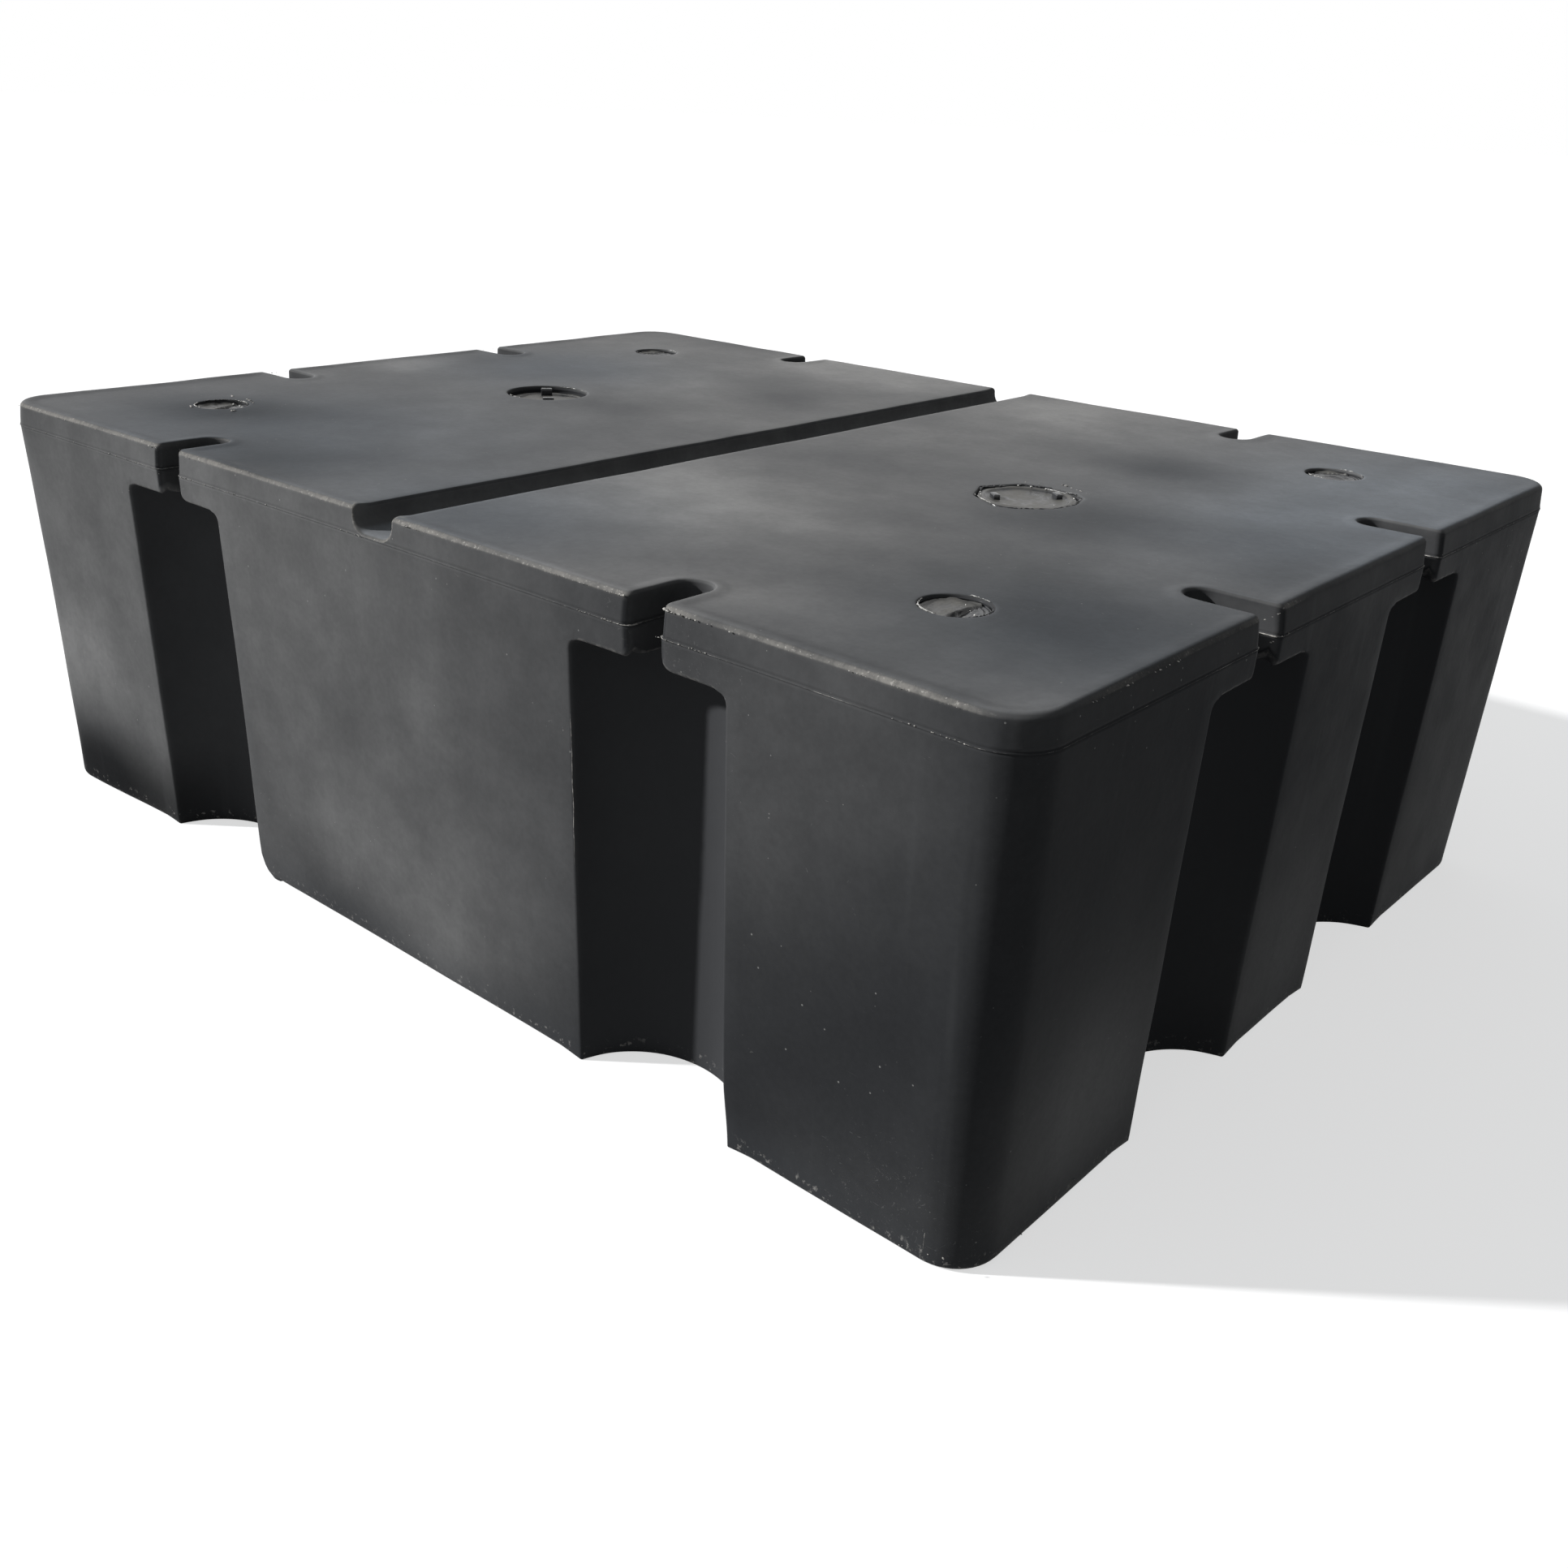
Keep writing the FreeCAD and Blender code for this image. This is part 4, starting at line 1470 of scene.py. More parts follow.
    @staticmethod
    def close_loop(patch: list[int], edge: list[int]) -> list[int]:
        """Join a deck patch's outer points and its groove edge into one loop.

        Args:
            patch: Point numbers along the deck's edge.
            edge: Point numbers along the groove.

        Returns:
            The loop's point numbers.
        """
        if patch[-1] != edge[0] and patch[0] == edge[0]:
            edge = edge[::-1]
        tail = [n for n in edge if n not in set(patch)]
        return patch + (tail if edge[0] == patch[-1] else tail[::-1])

    def open_deck(self, x: float, y: float) -> bool:
        """Tell if a place on the deck is clear of edges, slots, groove and wells.

        Args:
            x: Its X.
            y: Its Y.

        Returns:
            True if it is.
        """
        size, room = self.size, self.deck_room
        if abs(x) < self.groove.half_width + self.groove.edge_reach + room:
            return False
        edge = size.rim_radius + size.draw(size.height) + room
        over_x = max(0.0, abs(x) - (size.half_length - edge - size.corner_radius))
        over_y = max(0.0, abs(y) - (size.half_width - edge - size.corner_radius))
        if max(over_x, over_y, math.hypot(over_x, over_y) if over_x and over_y else 0) > size.corner_radius:
            return False
        half = size.slot_half_above + size.slot_rim_radius + room
        long_reach = size.half_width - size.long_slot_reach - 4 - room
        if abs(abs(x) - size.long_pitch / 2) < half and abs(y) > long_reach:
            return False
        short_reach = size.half_length - size.short_slot_reach - 4 - room
        if abs(abs(y) - size.short_pitch / 2) < half and abs(x) > short_reach:
            return False
        return all(
            math.hypot(x - well.x, y - well.y) > well.radius + well.edge + (16 if well.corners else 6) + room
            for well in self.wells
        )

    def outside_wells(self, x: float, y: float) -> bool:
        """True if a place on the deck isn't over a well."""
        return not any(well.covers(x, y) for well in self.wells)

    def build_foot(self, mesh: MeshDraft, ring: list[int]) -> None:
        """Fill the flat foot.

        Args:
            mesh: The mesh to add to.
            ring: The foot ring's point numbers.
        """
        size = self.size
        channels = (
            (size.long_pitch / 2, size.half_width + size.channel_outset),
            (size.half_length + size.channel_outset, size.short_pitch / 2),
        )
        inner = [
            (x, y, 0.0) for x, y in size.spread(self.foot_margin, self.foot_step)
            if all(math.hypot(abs(x) - cx, abs(y) - cy) > size.channel_radius + 18 for cx, cy in channels)
        ]
        mesh.fill([list(dict.fromkeys(ring))], inner, lambda x, y: True, False)

    def dress(self, points: np.ndarray, masks: dict[str, np.ndarray], ring: np.ndarray) -> None:
        """Set the broad masks: haze with painted sheen, painted bluish sky sheen, scrapes, the darker low
        left front, painted shade beside the deck edge and how worn each edge is.

        Args:
            points: Rows of X, Y and Z.
            masks: Mask values to change.
            ring: Points of the deck's edge.
        """
        height = self.size.height
        cloud = clouds(points, 230, 3.1, 4)
        on_deck = ease((points[:, 2] - height + 5) / 4)
        # Dried haze on the deck and walls, lighter in places as painted sheen
        above = (0.53 + patches(points[:, :2], DECK_HAZE_AND_SHEEN)) * (1 + 0.2 * cloud) + 0.1 * cloud
        below = patches(points, WALL_HAZE_AND_SHEEN) * (1 + 0.22 * cloud) + 0.04 * cloud
        below += 0.09 * (points[:, 0] > 590) * (points[:, 2] > self.size.parting + 1)
        haze = np.where(masks["haze"] > 0, 0, above * on_deck + below * (1 - on_deck))
        masks["haze"] = np.clip(masks["haze"] + haze, 0, 1)
        # Painted bluish sheen of the sky on parts of the deck
        masks["cool"] = np.clip(patches(points[:, :2], SKY_SHEEN_PATCHES), 0, 1)
        masks["scuff"] = np.clip(patches(points, SCUFF_PATCHES), 0, 1)
        worn_and_glint = self.rim_wear + patches(points[:, :2], RIM_WEAR) + 0.28 * clouds(points, 45, 8.7, 3)
        masks["rim"] *= np.clip(worn_and_glint, 0, 1)
        high = np.flatnonzero(points[:, 2] > height - 2)
        inward = edge_distance(points[high, :2], ring[:, :2])
        # Painted shade in a band just inside the deck's edge
        crease_shade = np.exp(-((inward - 5.5) / 3.5) ** 2) * np.clip(patches(points[high, :2], PAINTED_CREASE_SHADE), 0, 1)
        masks["nook"][high] = np.maximum(masks["nook"][high], 0.4 * crease_shade)
        # The left block's front grows darker towards its foot
        low_left = ease(1 - (points[:, 0] + 420) / 130) * ease(1.25 - points[:, 2] / 75)
        masks["stain"] = low_left * (points[:, 1] < -300)

    def build(self) -> bpy.types.Object:
        """Make the float's object."""
        mesh = MeshDraft()
        foot, deck, clip = self.build_walls(mesh, self.stretches())
        ring = np.array([mesh.points[n] for n in deck])
        self.build_deck(mesh, deck, clip, *self.build_groove(mesh))
        self.build_foot(mesh, foot)
        Burrs().add(mesh)

        def shape(points: np.ndarray, masks: dict[str, np.ndarray]) -> np.ndarray:
            """Set the broad masks and let the moulding settle."""
            self.dress(points, masks, ring)
            return self.settling.apply(points, self.size, ring, self.wells)

        return mesh.make("float_shell", shape)


@dataclass
class Plug:
    """A round plug with an uneven face, sunk in its well."""

    node: str
    recess: float
    rings: int
    columns: int
    seed: float
    corners: tuple[tuple[float, float], ...] = ()
    bevel: float = 0.8
    seat_gap: float = 0.3
    side_gap: float = 0.6

    def __post_init__(self) -> None:
        """Take the place from the node's own box, 0.1 mm inside it."""
        low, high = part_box(self.node)
        self.x = (low.x + high.x) / 2 / MM
        self.y = (low.y + high.y) / 2 / MM
        self.radius = (high.x - low.x) / 2 / MM - 0.1
        self.low = low.z / MM + 0.1
        self.top = DECK_HEIGHT - self.recess

    def well(self) -> Well:
        """The well that the plug sits in."""
        depth = DECK_HEIGHT - self.low + self.seat_gap
        return Well(self.x, self.y, self.radius + self.side_gap, depth, self.recess, self.corners)

    def face(self, x: float, y: float) -> tuple[float, Masks]:
        """Height and masks of a place on the face, measured from the plug's middle."""
        raise NotImplementedError

    def build_disc(self, mesh: MeshDraft) -> None:
        """Lay the face from the middle out, then the wall and the bottom.

        Args:
            mesh: The mesh to add to.
        """
        rows = []
        turns = [2 * math.pi * i / self.columns for i in range(self.columns)]
        for k in range(1, self.rings + 1):
            reach = (self.radius - self.bevel) * (k / self.rings) ** 0.85
            row = []
            for x, y in ((reach * math.cos(turn), reach * math.sin(turn)) for turn in turns):
                z, masks = self.face(x, y)
                row.append(mesh.point((self.x + x, self.y + y, z), masks))
            rows.append(row)
        grow = self.radius / (self.radius - self.bevel)
        outer = [(self.x + (x - self.x) * grow, self.y + (y - self.y) * grow, z - self.bevel)
                 for x, y, z in (mesh.points[n] for n in rows[-1])]
        # Painted shade down the plug's side in its well
        rows.append(mesh.row(outer, {"nook": 0.8}))
        rows.append(mesh.row([(x, y, self.low) for x, y, _ in outer], {"nook": 1.0}))
        mesh.grid(rows[::-1])
        mesh.cap(rows[0], True)
        mesh.cap(rows[-1], False)

    def rag(self, mesh: MeshDraft, first: float, last: float, outline: Callable[[float], float],
            height: float, thick: float, white: float) -> None:
        """Lay a ragged strand of melted plastic along part of the rim.

        Args:
            mesh: The mesh to add to.
            first: Angle where it starts, in degrees.
            last: Angle where it ends.
            outline: Distance from the middle at an angle in radians.
            height: Height of the strand's middle.
            thick: Radius of the strand.
            white: Share of white, pale melted plastic that is partly painted glints.
        """
        turns = np.radians(np.arange(first, last, 2.2))
        path, radii = [], []
        for k, turn in enumerate(turns):
            wave = wobble(k * 0.55, self.seed, 1.5)
            torn = wobble(k * 1.3, self.seed, 6.5)
            reach = outline(turn) + 0.9 * wave
            lift = height + 0.5 * torn
            size = thick * max(0.06, 0.42 + 1.2 * wave + 1.0 * torn)
            size *= math.sin(math.pi * (k + 0.5) / len(turns)) ** 0.4
            path.append((self.x + reach * math.cos(turn), self.y + reach * math.sin(turn), lift))
            radii.append(min(size, DECK_HEIGHT - 0.1 - lift))
        mesh.strand(np.array(path), radii, {"rim": white, "nook": 0.3 * (1 - white)})

    def trim(self, mesh: MeshDraft) -> None:
        """Add what stands on the face or hangs in the well."""
        raise NotImplementedError

    def build(self) -> bpy.types.Object:
        """Make the plug's object."""
        mesh = MeshDraft()
        self.build_disc(mesh)
        self.trim(mesh)
        return mesh.make(f"{self.node}_disc")


@dataclass
class FillPlug(Plug):
    """A fill plug: a dusty dished disc with two lugs for a spanner."""

    turn: float = 0.0
    lug_reach: float = 28
    lug_width: float = 6
    lug_length: float = 12
    lug_top: float = 7
    lug_edge: float = 0.9
    lug_shift: tuple[float, float] = (0, 0)
    dish: float = 0.9
    collar: float = 0
    lift: float = 0

    def face(self, x: float, y: float) -> tuple[float, Masks]:
        """Height and masks of a place on the face.

        Args:
            x: X from the plug's middle.
            y: Y from the plug's middle.

        Returns:
            The height and the mask values.
        """
        reach = math.hypot(x, y)
        broad = wobble(x / 15, y / 15, self.seed)
        fine = wobble(x / 3.5, y / 3.5, self.seed + 4)
        ring = bump_at(reach, self.radius - 4.5, 1.5)
        groove = bump_at(reach, self.radius - 7.5, 1.1)
        z = self.top + self.lift - self.dish * (1 - (reach / self.radius) ** 2) + 0.45 * broad + 0.12 * fine
        z += 0.7 * ring - 0.5 * groove + self.collar * float(ease((reach - self.radius + 10) / 4.5))
        dust = float(ease(0.75 + 0.7 * broad + 0.5 * fine - 0.7 * groove))
        return z, {"haze": dust, "nook": 0.5 * groove, "rim": max(0.0, fine) * ring * 0.5}

    def trim(self, mesh: MeshDraft) -> None:
        """Add the lugs, and the strands where the plug was melted in.

        Args:
            mesh: The mesh to add to.
        """
        turn = math.radians(self.turn)
        for reach in (-self.lug_reach, self.lug_reach):
            place = (self.x + self.lug_shift[0] + reach * math.cos(turn),
                     self.y + self.lug_shift[1] + reach * math.sin(turn))
            size = (self.lug_width, self.lug_length)
            top = self.top + self.lug_top
            mesh.block(place, turn, size, self.top - 2, top, self.lug_edge, {"nook": 0.3})
        if self.corners:
            self.melt(mesh)
        else:
            self.rag(mesh, 60, 120, lambda turn: self.radius + 0.2, self.top + 6.4, 0.5, 0.6)
            self.rag(mesh, -112, -78, lambda turn: self.radius - 0.2, self.top + 6.9, 0.6, 1.0)

    def melt(self, mesh: MeshDraft) -> None:
        """Add the melted rim, the bar over a lug and the beads.

        Args:
            mesh: The mesh to add to.
        """
        rim = self.well().rim_radius
        for first, last, inset, drop, thick, white in RAGS_MELTED:
            self.rag(mesh, first, last, lambda turn: rim(turn) - inset, DECK_HEIGHT - drop, thick, white)
        bar = np.linspace((-4.6, 36.1, -0.7), (20.8, 33.9, -0.8), 9)
        bar += np.array((self.x, self.y, DECK_HEIGHT))
        mesh.strand(bar, [0.2, 0.4, 0.5, 0.45, 0.45, 0.4, 0.4, 0.35, 0.2], {"rim": 0.5})
        for dx, dy, drop, size in DROPS_MELTED:
            mesh.bead((self.x + dx, self.y + dy, DECK_HEIGHT - drop), size, 0.7, {"rim": 1.0})


@dataclass
class VentPlug(Plug):
    """A vent plug: a raised half on one side, and a dish with round ridges on the other."""

    tongue_turn: float = 180
    tongue_edge: float = -1.5
    tongue_bend: float = 2.0
    tongue_lift: float = 0.5
    dish_x: float = 4.6
    dish_y: float = -3.9
    dish_radius: float = 17
    dish_depth: float = 2.5
    # Radius and height of each round ridge
    ridges: tuple[tuple[float, float], ...] = ((18.4, 0.7), (14.6, 0.35), (10.8, 0.3), (22.2, 0.6))
    rags: tuple[tuple[float, ...], ...] = ()
    drops: tuple[tuple[float, float, float], ...] = ()

    def face(self, x: float, y: float) -> tuple[float, Masks]:
        """Height and masks of a place on the face.

        Args:
            x: X from the plug's middle.
            y: Y from the plug's middle.

        Returns:
            The height and the mask values.
        """
        broad = wobble(x / 9, y / 9, self.seed)
        fine = wobble(x / 2.2, y / 2.2, self.seed + 4)
        reach = math.hypot(x, y)
        off = math.hypot(x - self.dish_x, y - self.dish_y)
        bowl = self.top - self.dish_depth * max(0.0, 1 - (off / self.dish_radius) ** 2)
        bowl += sum(high * bump_at(reach, ridge, 0.75) for ridge, high in self.ridges)
        bowl += 0.18 * fine + 0.25 * broad
        turn = math.radians(self.tongue_turn)
        along = x * math.cos(turn) + y * math.sin(turn)
        across = -x * math.sin(turn) + y * math.cos(turn)
        inside = along - self.tongue_edge + self.tongue_bend * (across / 20) ** 2 + 1.0 * broad + 0.4 * fine
        share = float(ease(inside / 1.1 + 0.5))
        pit = math.exp(-(math.hypot(x + 3.9, y + 5.8) - 1.6) ** 2 * 3)
        plate = self.top + self.tongue_lift + 0.5 * broad + 0.25 * fine - 0.35 * pit
        # A dip beside the raised half, darkened with painted shadow as if the half's edge cast it
        crack_and_shadow = (1 - share) * float(ease(1 - abs(inside + 1.7) / 3.4))
        z = bowl + (plate - bowl) * share - 1.4 * crack_and_shadow
        rise = float(ease((reach - self.radius + 2.6) / 2.6)) * (1.1 + 0.9 * broad)
        worn_and_glint = max(0.0, bump_at(inside, 0.4, 0.7) * (0.35 + 1.2 * fine)) * 0.7
        return z + rise, {"haze": share * (0.7 + 0.5 * broad), "rim": worn_and_glint, "nook": crack_and_shadow * 0.95}

    def trim(self, mesh: MeshDraft) -> None:
        """Add the drops and the ragged strands round the rim.

        Args:
            mesh: The mesh to add to.
        """
        for x, y, size in self.drops:
            mesh.bead((self.x + x, self.y + y, self.face(x, y)[0] + 0.3), size, 0.8, {"rim": 1.0})
        for first, last, inset, drop, thick, white in self.rags:
            self.rag(mesh, first, last, lambda turn: self.radius - inset, DECK_HEIGHT - drop, thick, white)


@dataclass(frozen=True)
class PhotoCamera:
    """The camera, at the viewing angle of the picture."""

    frame_pixels: float = 1932
    focal_pixels: float = 1896.7
    axis_x_pixels: float = 960.0
    axis_y_pixels: float = 966.2
    azimuth: float = 40.332
    elevation: float = 23.874
    roll: float = 2.348
    place: tuple[float, float, float] = (1.0021, -1.1271, 0.6987)
    sensor: float = 36

    def add(self) -> None:
        """Make the camera and give it to the scene."""
        az, el, roll = (math.radians(angle) for angle in (self.azimuth, self.elevation, self.roll))
        back = Vector((math.sin(az) * math.cos(el), -math.cos(az) * math.cos(el), math.sin(el)))
        level = Vector((math.cos(az), math.sin(az), 0))
        rise = Vector((-math.sin(az) * math.sin(el), math.cos(az) * math.sin(el), math.cos(el)))
        right = math.cos(roll) * level + math.sin(roll) * rise
        up = -math.sin(roll) * level + math.cos(roll) * rise
        data = bpy.data.cameras.new("photo_camera")
        data.sensor_fit = "HORIZONTAL"
        data.sensor_width = self.sensor
        data.lens = self.focal_pixels / self.frame_pixels * self.sensor
        data.shift_x = (self.frame_pixels / 2 - self.axis_x_pixels) / self.frame_pixels
        data.shift_y = (self.axis_y_pixels - self.frame_pixels / 2) / self.frame_pixels
        data.clip_end = 200
        camera = bpy.data.objects.new("photo_camera", data)
        aim = Matrix((right, up, back)).transposed().to_4x4()
        camera.matrix_world = Matrix.Translation(self.place) @ aim
        bpy.context.scene.collection.objects.link(camera)
        bpy.context.scene.camera = camera


class NodeBench:
    """Short ways to lay and join the nodes of a material or a sky."""

    def __init__(self, owner: bpy.types.Material | bpy.types.World,
                 output: str = "ShaderNodeOutputMaterial") -> None:
        """Empty the owner's nodes and give it its output.

        Args:
            owner: The material or the sky.
            output: Type of the output node.
        """
        owner.use_nodes = True
        self.owner = owner
        self.tree = owner.node_tree
        self.tree.nodes.clear()
        self.output = self.tree.nodes.new(output)

    def add(self, kind: str, inputs: dict[str | int, object] | None = None,
            **settings: object) -> bpy.types.Node:
        """Add a node.

        Args:
            kind: The node's type, without its ShaderNode start.
            inputs: Sockets or values for its inputs.
            **settings: Properties by name.

        Returns:
            The node.
        """
        node = self.tree.nodes.new("ShaderNode" + kind)
        for name, value in settings.items():
            setattr(node, name, value)
        for name, value in (inputs or {}).items():
            self.join(value, node.inputs[name])
        return node

    def join(self, value: object, socket: Socket) -> None:
        """Link a socket to another, or set its value.

        Args:
            value: A socket, a number, a colour or a vector.
            socket: The input to feed.
        """
        if isinstance(value, Socket):
            self.tree.links.new(value, socket)
        elif isinstance(socket.default_value, float):
            socket.default_value = value
        else:
            socket.default_value = (*value, 1) if len(value) < len(socket.default_value) else value

    def math(self, operation: str, *values: object, clamp: bool = False) -> Socket:
        """Work on numbers or sockets, and hold the result between 0 and 1 if asked."""
        return self.add("Math", dict(enumerate(values)), operation=operation, use_clamp=clamp).outputs[0]

    def times(self, *values: object, clamp: bool = False) -> Socket:
        """Product of two numbers or sockets."""
        return self.math("MULTIPLY", *values, clamp=clamp)

    def most(self, *values: object) -> Socket:
        """Highest of some numbers or sockets."""
        return values[0] if len(values) == 1 else self.math("MAXIMUM", values[0], self.most(*values[1:]))

    def mask(self, mask: Mask) -> Socket:
        """Read a mask from the mesh."""
        return self.add("Attribute", attribute_type="GEOMETRY", attribute_name=mask.value).outputs["Fac"]

    def place(self, scale: tuple[float, float, float] = (1, 1, 1), kind: str = "POINT",
              turn: tuple[float, float, float] = (0, 0, 0)) -> Socket:
        """Object coordinates, stretched along the axes and turned."""
        inputs = {"Vector": self.add("TexCoord").outputs["Object"], "Scale": scale, "Rotation": turn}
        return self.add("Mapping", inputs, vector_type=kind).outputs["Vector"]

    def noise(self, place: Socket, scale: float, detail: float, rough: float, warp: float = 0.0) -> Socket:
        """Cloudy noise at coordinates, for a scale per metre, octaves, their share and distortion."""
        inputs = {"Vector": place, "Scale": scale, "Detail": detail, "Roughness": rough, "Distortion": warp}
        return self.add("TexNoise", inputs).outputs["Fac"]

    def span(self, *numbers: object) -> Socket:
        """Map a value's range, low to high, onto another, 0 to 1 if not given, with a smooth step."""
        return self.add("MapRange", dict(enumerate(numbers)), interpolation_type="SMOOTHSTEP").outputs[0]

    def scaled(self, colour: object, share: object) -> Socket:
        """Darken or lighten a colour by a share."""
        return self.add("VectorMath", {0: colour, "Scale": share}, operation="SCALE").outputs[0]

    def blend(self, share: object, first: object, second: object) -> Socket:
        """Mix two colours by a share."""
        return self.add("Mix", {0: share, 6: first, 7: second}, data_type="RGBA").outputs[2]

    def surface(self, colour: Socket, rough: Socket, gloss: float,
                bump: dict[str, object]) -> bpy.types.Material:
        """Join a colour, a roughness, a gloss and a bump to the output.

        Args:
            colour: Base colour.
            rough: Roughness.
            gloss: Specular level, the same all over.
            bump: Inputs of the bump node.

        Returns:
            The material.
        """
        shader = self.add("BsdfPrincipled", {
            "Base Color": colour, "Roughness": rough, "Specular IOR Level": gloss,
            "Normal": self.add("Bump", bump).outputs[0],
        })
        self.join(shader.outputs[0], self.output.inputs["Surface"])
        return self.owner

    def split_rays(self, lit: bpy.types.Node, seen: bpy.types.Node) -> None:
        """Join one shader for the light, and one for what camera, mirrors and glass see.

        Args:
            lit: Shader for the light.
            seen: Shader for what is seen.
        """
        rays = self.add("LightPath").outputs
        direct = self.most(*(rays[f"Is {kind} Ray"] for kind in ("Transmission", "Camera", "Glossy")))
        pick = self.add("MixShader", {0: direct, 1: lit.outputs[0], 2: seen.outputs[0]})
        self.join(pick.outputs[0], self.output.inputs["Surface"])


@dataclass(frozen=True)
class BlackPolyethylene:
    """Weathered black polyethylene with haze, scuffs and pale worn edges, with painted sky sheen in the
    haze, painted shade in hollows and painted glints on worn edges.
    """

    name: str = "black_polyethylene"
    wall: Colour = (0.0225, 0.0235, 0.0255)
    # Dried haze on the walls, lighter where it stands for painted sheen at a grazing view
    wall_haze_and_sheen: Colour = (0.172, 0.172, 0.172)
    # Colour of faces that look up: the deck's own tone, made lighter and bluer than the walls partly as
    # painted sheen of the sky
    deck: Colour = (0.032, 0.036, 0.042)
    # Painted sheen: the light bluish tone where the deck catches the sky
    deck_sky_sheen: Colour = (0.245, 0.262, 0.282)
    # Dried haze on the deck, lighter where it stands for painted sheen of the sky
    deck_haze_and_sheen: Colour = (0.282, 0.278, 0.273)
    foot: Colour = (0.042, 0.045, 0.050)
    # Painted shade: the dark tone laid into channels, slots, wells and other hollows
    painted_shade_colour: Colour = (0.052, 0.053, 0.056)
    streak: Colour = (0.075, 0.077, 0.080)
    scuff: Colour = (0.24, 0.24, 0.235)
    speck: Colour = (0.30, 0.30, 0.29)
    rubbed: Colour = (0.300, 0.286, 0.262)
    # Pale worn plastic, made this light partly as painted glints on edges, the parting line and the drops
    worn_and_glint: Colour = (0.50, 0.48, 0.45)
    gloss: float = 0.012
    roughness: float = 0.47
    melt_roughness: float = 0.24
    bump_strength: float = 0.28
    bump_depth: float = 0.0012
    # Turn, length and fineness of each heading of scratches
    headings: tuple[tuple[float, float, float], ...] = ((0.35, 9, 300), (1.3, 12, 330), (2.2, 8, 280))
    specks_per_metre: float = 150

    def make(self) -> bpy.types.Material:
        """Build the material, from the plastic up to its wear.

        Returns:
            The material.
        """
        bench = NodeBench(bpy.data.materials.new(self.name))
        place = bench.place()
        normal = bench.add("SeparateXYZ", {0: bench.add("NewGeometry").outputs["Normal"]})
        upward = bench.span(normal.outputs["Z"], 0.75, 0.97)
        mottle = bench.noise(place, 17, 4, 0.62)
        fine = bench.noise(place, 190, 3, 0.65)
        haze = bench.times(bench.mask(Mask.HAZE), bench.span(mottle, 0.25, 0.75, 0.88, 1.10), clamp=True)
        deck_haze_and_sheen = bench.blend(bench.mask(Mask.COOL), self.deck_haze_and_sheen, self.deck_sky_sheen)
        haze_and_sheen_colour = bench.blend(upward, self.wall_haze_and_sheen, deck_haze_and_sheen)
        # Faces that look up take the deck's colours, lighter and bluer partly as painted sky sheen
        colour = bench.blend(haze, bench.blend(upward, self.wall, self.deck), haze_and_sheen_colour)
        shade = bench.span(mottle, 0.28, 0.74, 0.94, 1.06)
        colour = bench.scaled(colour, bench.times(shade, bench.span(fine, 0.25, 0.75, 0.95, 1.05)))
        colour = bench.blend(bench.times(bench.mask(Mask.FOOT), 0.3), colour, self.foot)
        # Painted shade in the hollows
        colour = bench.blend(bench.times(bench.mask(Mask.NOOK), 0.72), colour, self.painted_shade_colour)
        # Darker towards the foot at the left of the front
        colour = bench.scaled(colour, bench.math("SUBTRACT", 1.0, bench.times(bench.mask(Mask.STAIN), 0.72)))
        streaks = bench.span(bench.noise(bench.place((34, 34, 1.3)), 1, 3, 0.6), 0.54, 0.8, 0.0, 0.25)
        colour = bench.blend(bench.times(streaks, bench.math("SUBTRACT", 1.0, upward)), colour, self.streak)
        open_face = bench.span(bench.mask(Mask.NOOK), 0.3, 0.7, 1.0, 0.0)
        scratches = bench.times(self.scratches(bench), open_face)
        colour = bench.blend(bench.times(scratches, 0.2), colour, self.scuff)
        specks = bench.times(self.specks(bench, place), open_face)
        colour = bench.blend(bench.times(specks, 0.55), colour, self.speck)
        rubbed = bench.span(bench.mask(Mask.RIM), 0.08, 0.9, 0.0, 0.62)
        colour = bench.blend(bench.times(rubbed, bench.span(fine, 0.3, 0.65, 0.5, 1.0)), colour, self.rubbed)
        # Pale worn edges, bright partly as painted glints
        worn_and_glint = self.edge_wear_and_glint(bench, fine, place)
        colour = bench.blend(worn_and_glint, colour, self.worn_and_glint)
        rough = bench.span(mottle, 0.25, 0.8, self.roughness - 0.06, self.roughness + 0.07)
        rough = bench.math("ADD", rough, bench.times(haze, 0.06))
        rough = bench.math("SUBTRACT", rough, bench.times(worn_and_glint, 0.14))
        melted = bench.times(bench.mask(Mask.MELT), self.roughness - self.melt_roughness)
        relief = bench.times(bench.noise(place, 34, 4, 0.6), 1.1)
        relief = bench.math("SUBTRACT", relief, bench.times(scratches, 0.2))
        relief = bench.math("ADD", relief, bench.times(worn_and_glint, 0.25))
        bump = {"Strength": self.bump_strength, "Distance": self.bump_depth, "Height": relief}
        return bench.surface(colour, bench.math("SUBTRACT", rough, melted), self.gloss, bump)

    def scratches(self, bench: NodeBench) -> Socket:
        """Hair scratches in three headings, thicker where the float was scraped.

        Args:
            bench: The material's bench.

        Returns:
            Their share.
        """
        lines = []
        for turn, long, thin in self.headings:
            place = bench.place((1 / long, 1 / thin, 1 / thin), "TEXTURE", (0, 0.25 * turn, turn))
            lines.append(bench.noise(place, 1, 3, 0.6, 1.2))
        start = bench.span(bench.mask(Mask.SCUFF), 0.0, 1.0, 0.72, 0.63)
        return bench.span(bench.most(*lines), start, bench.math("ADD", start, 0.09))

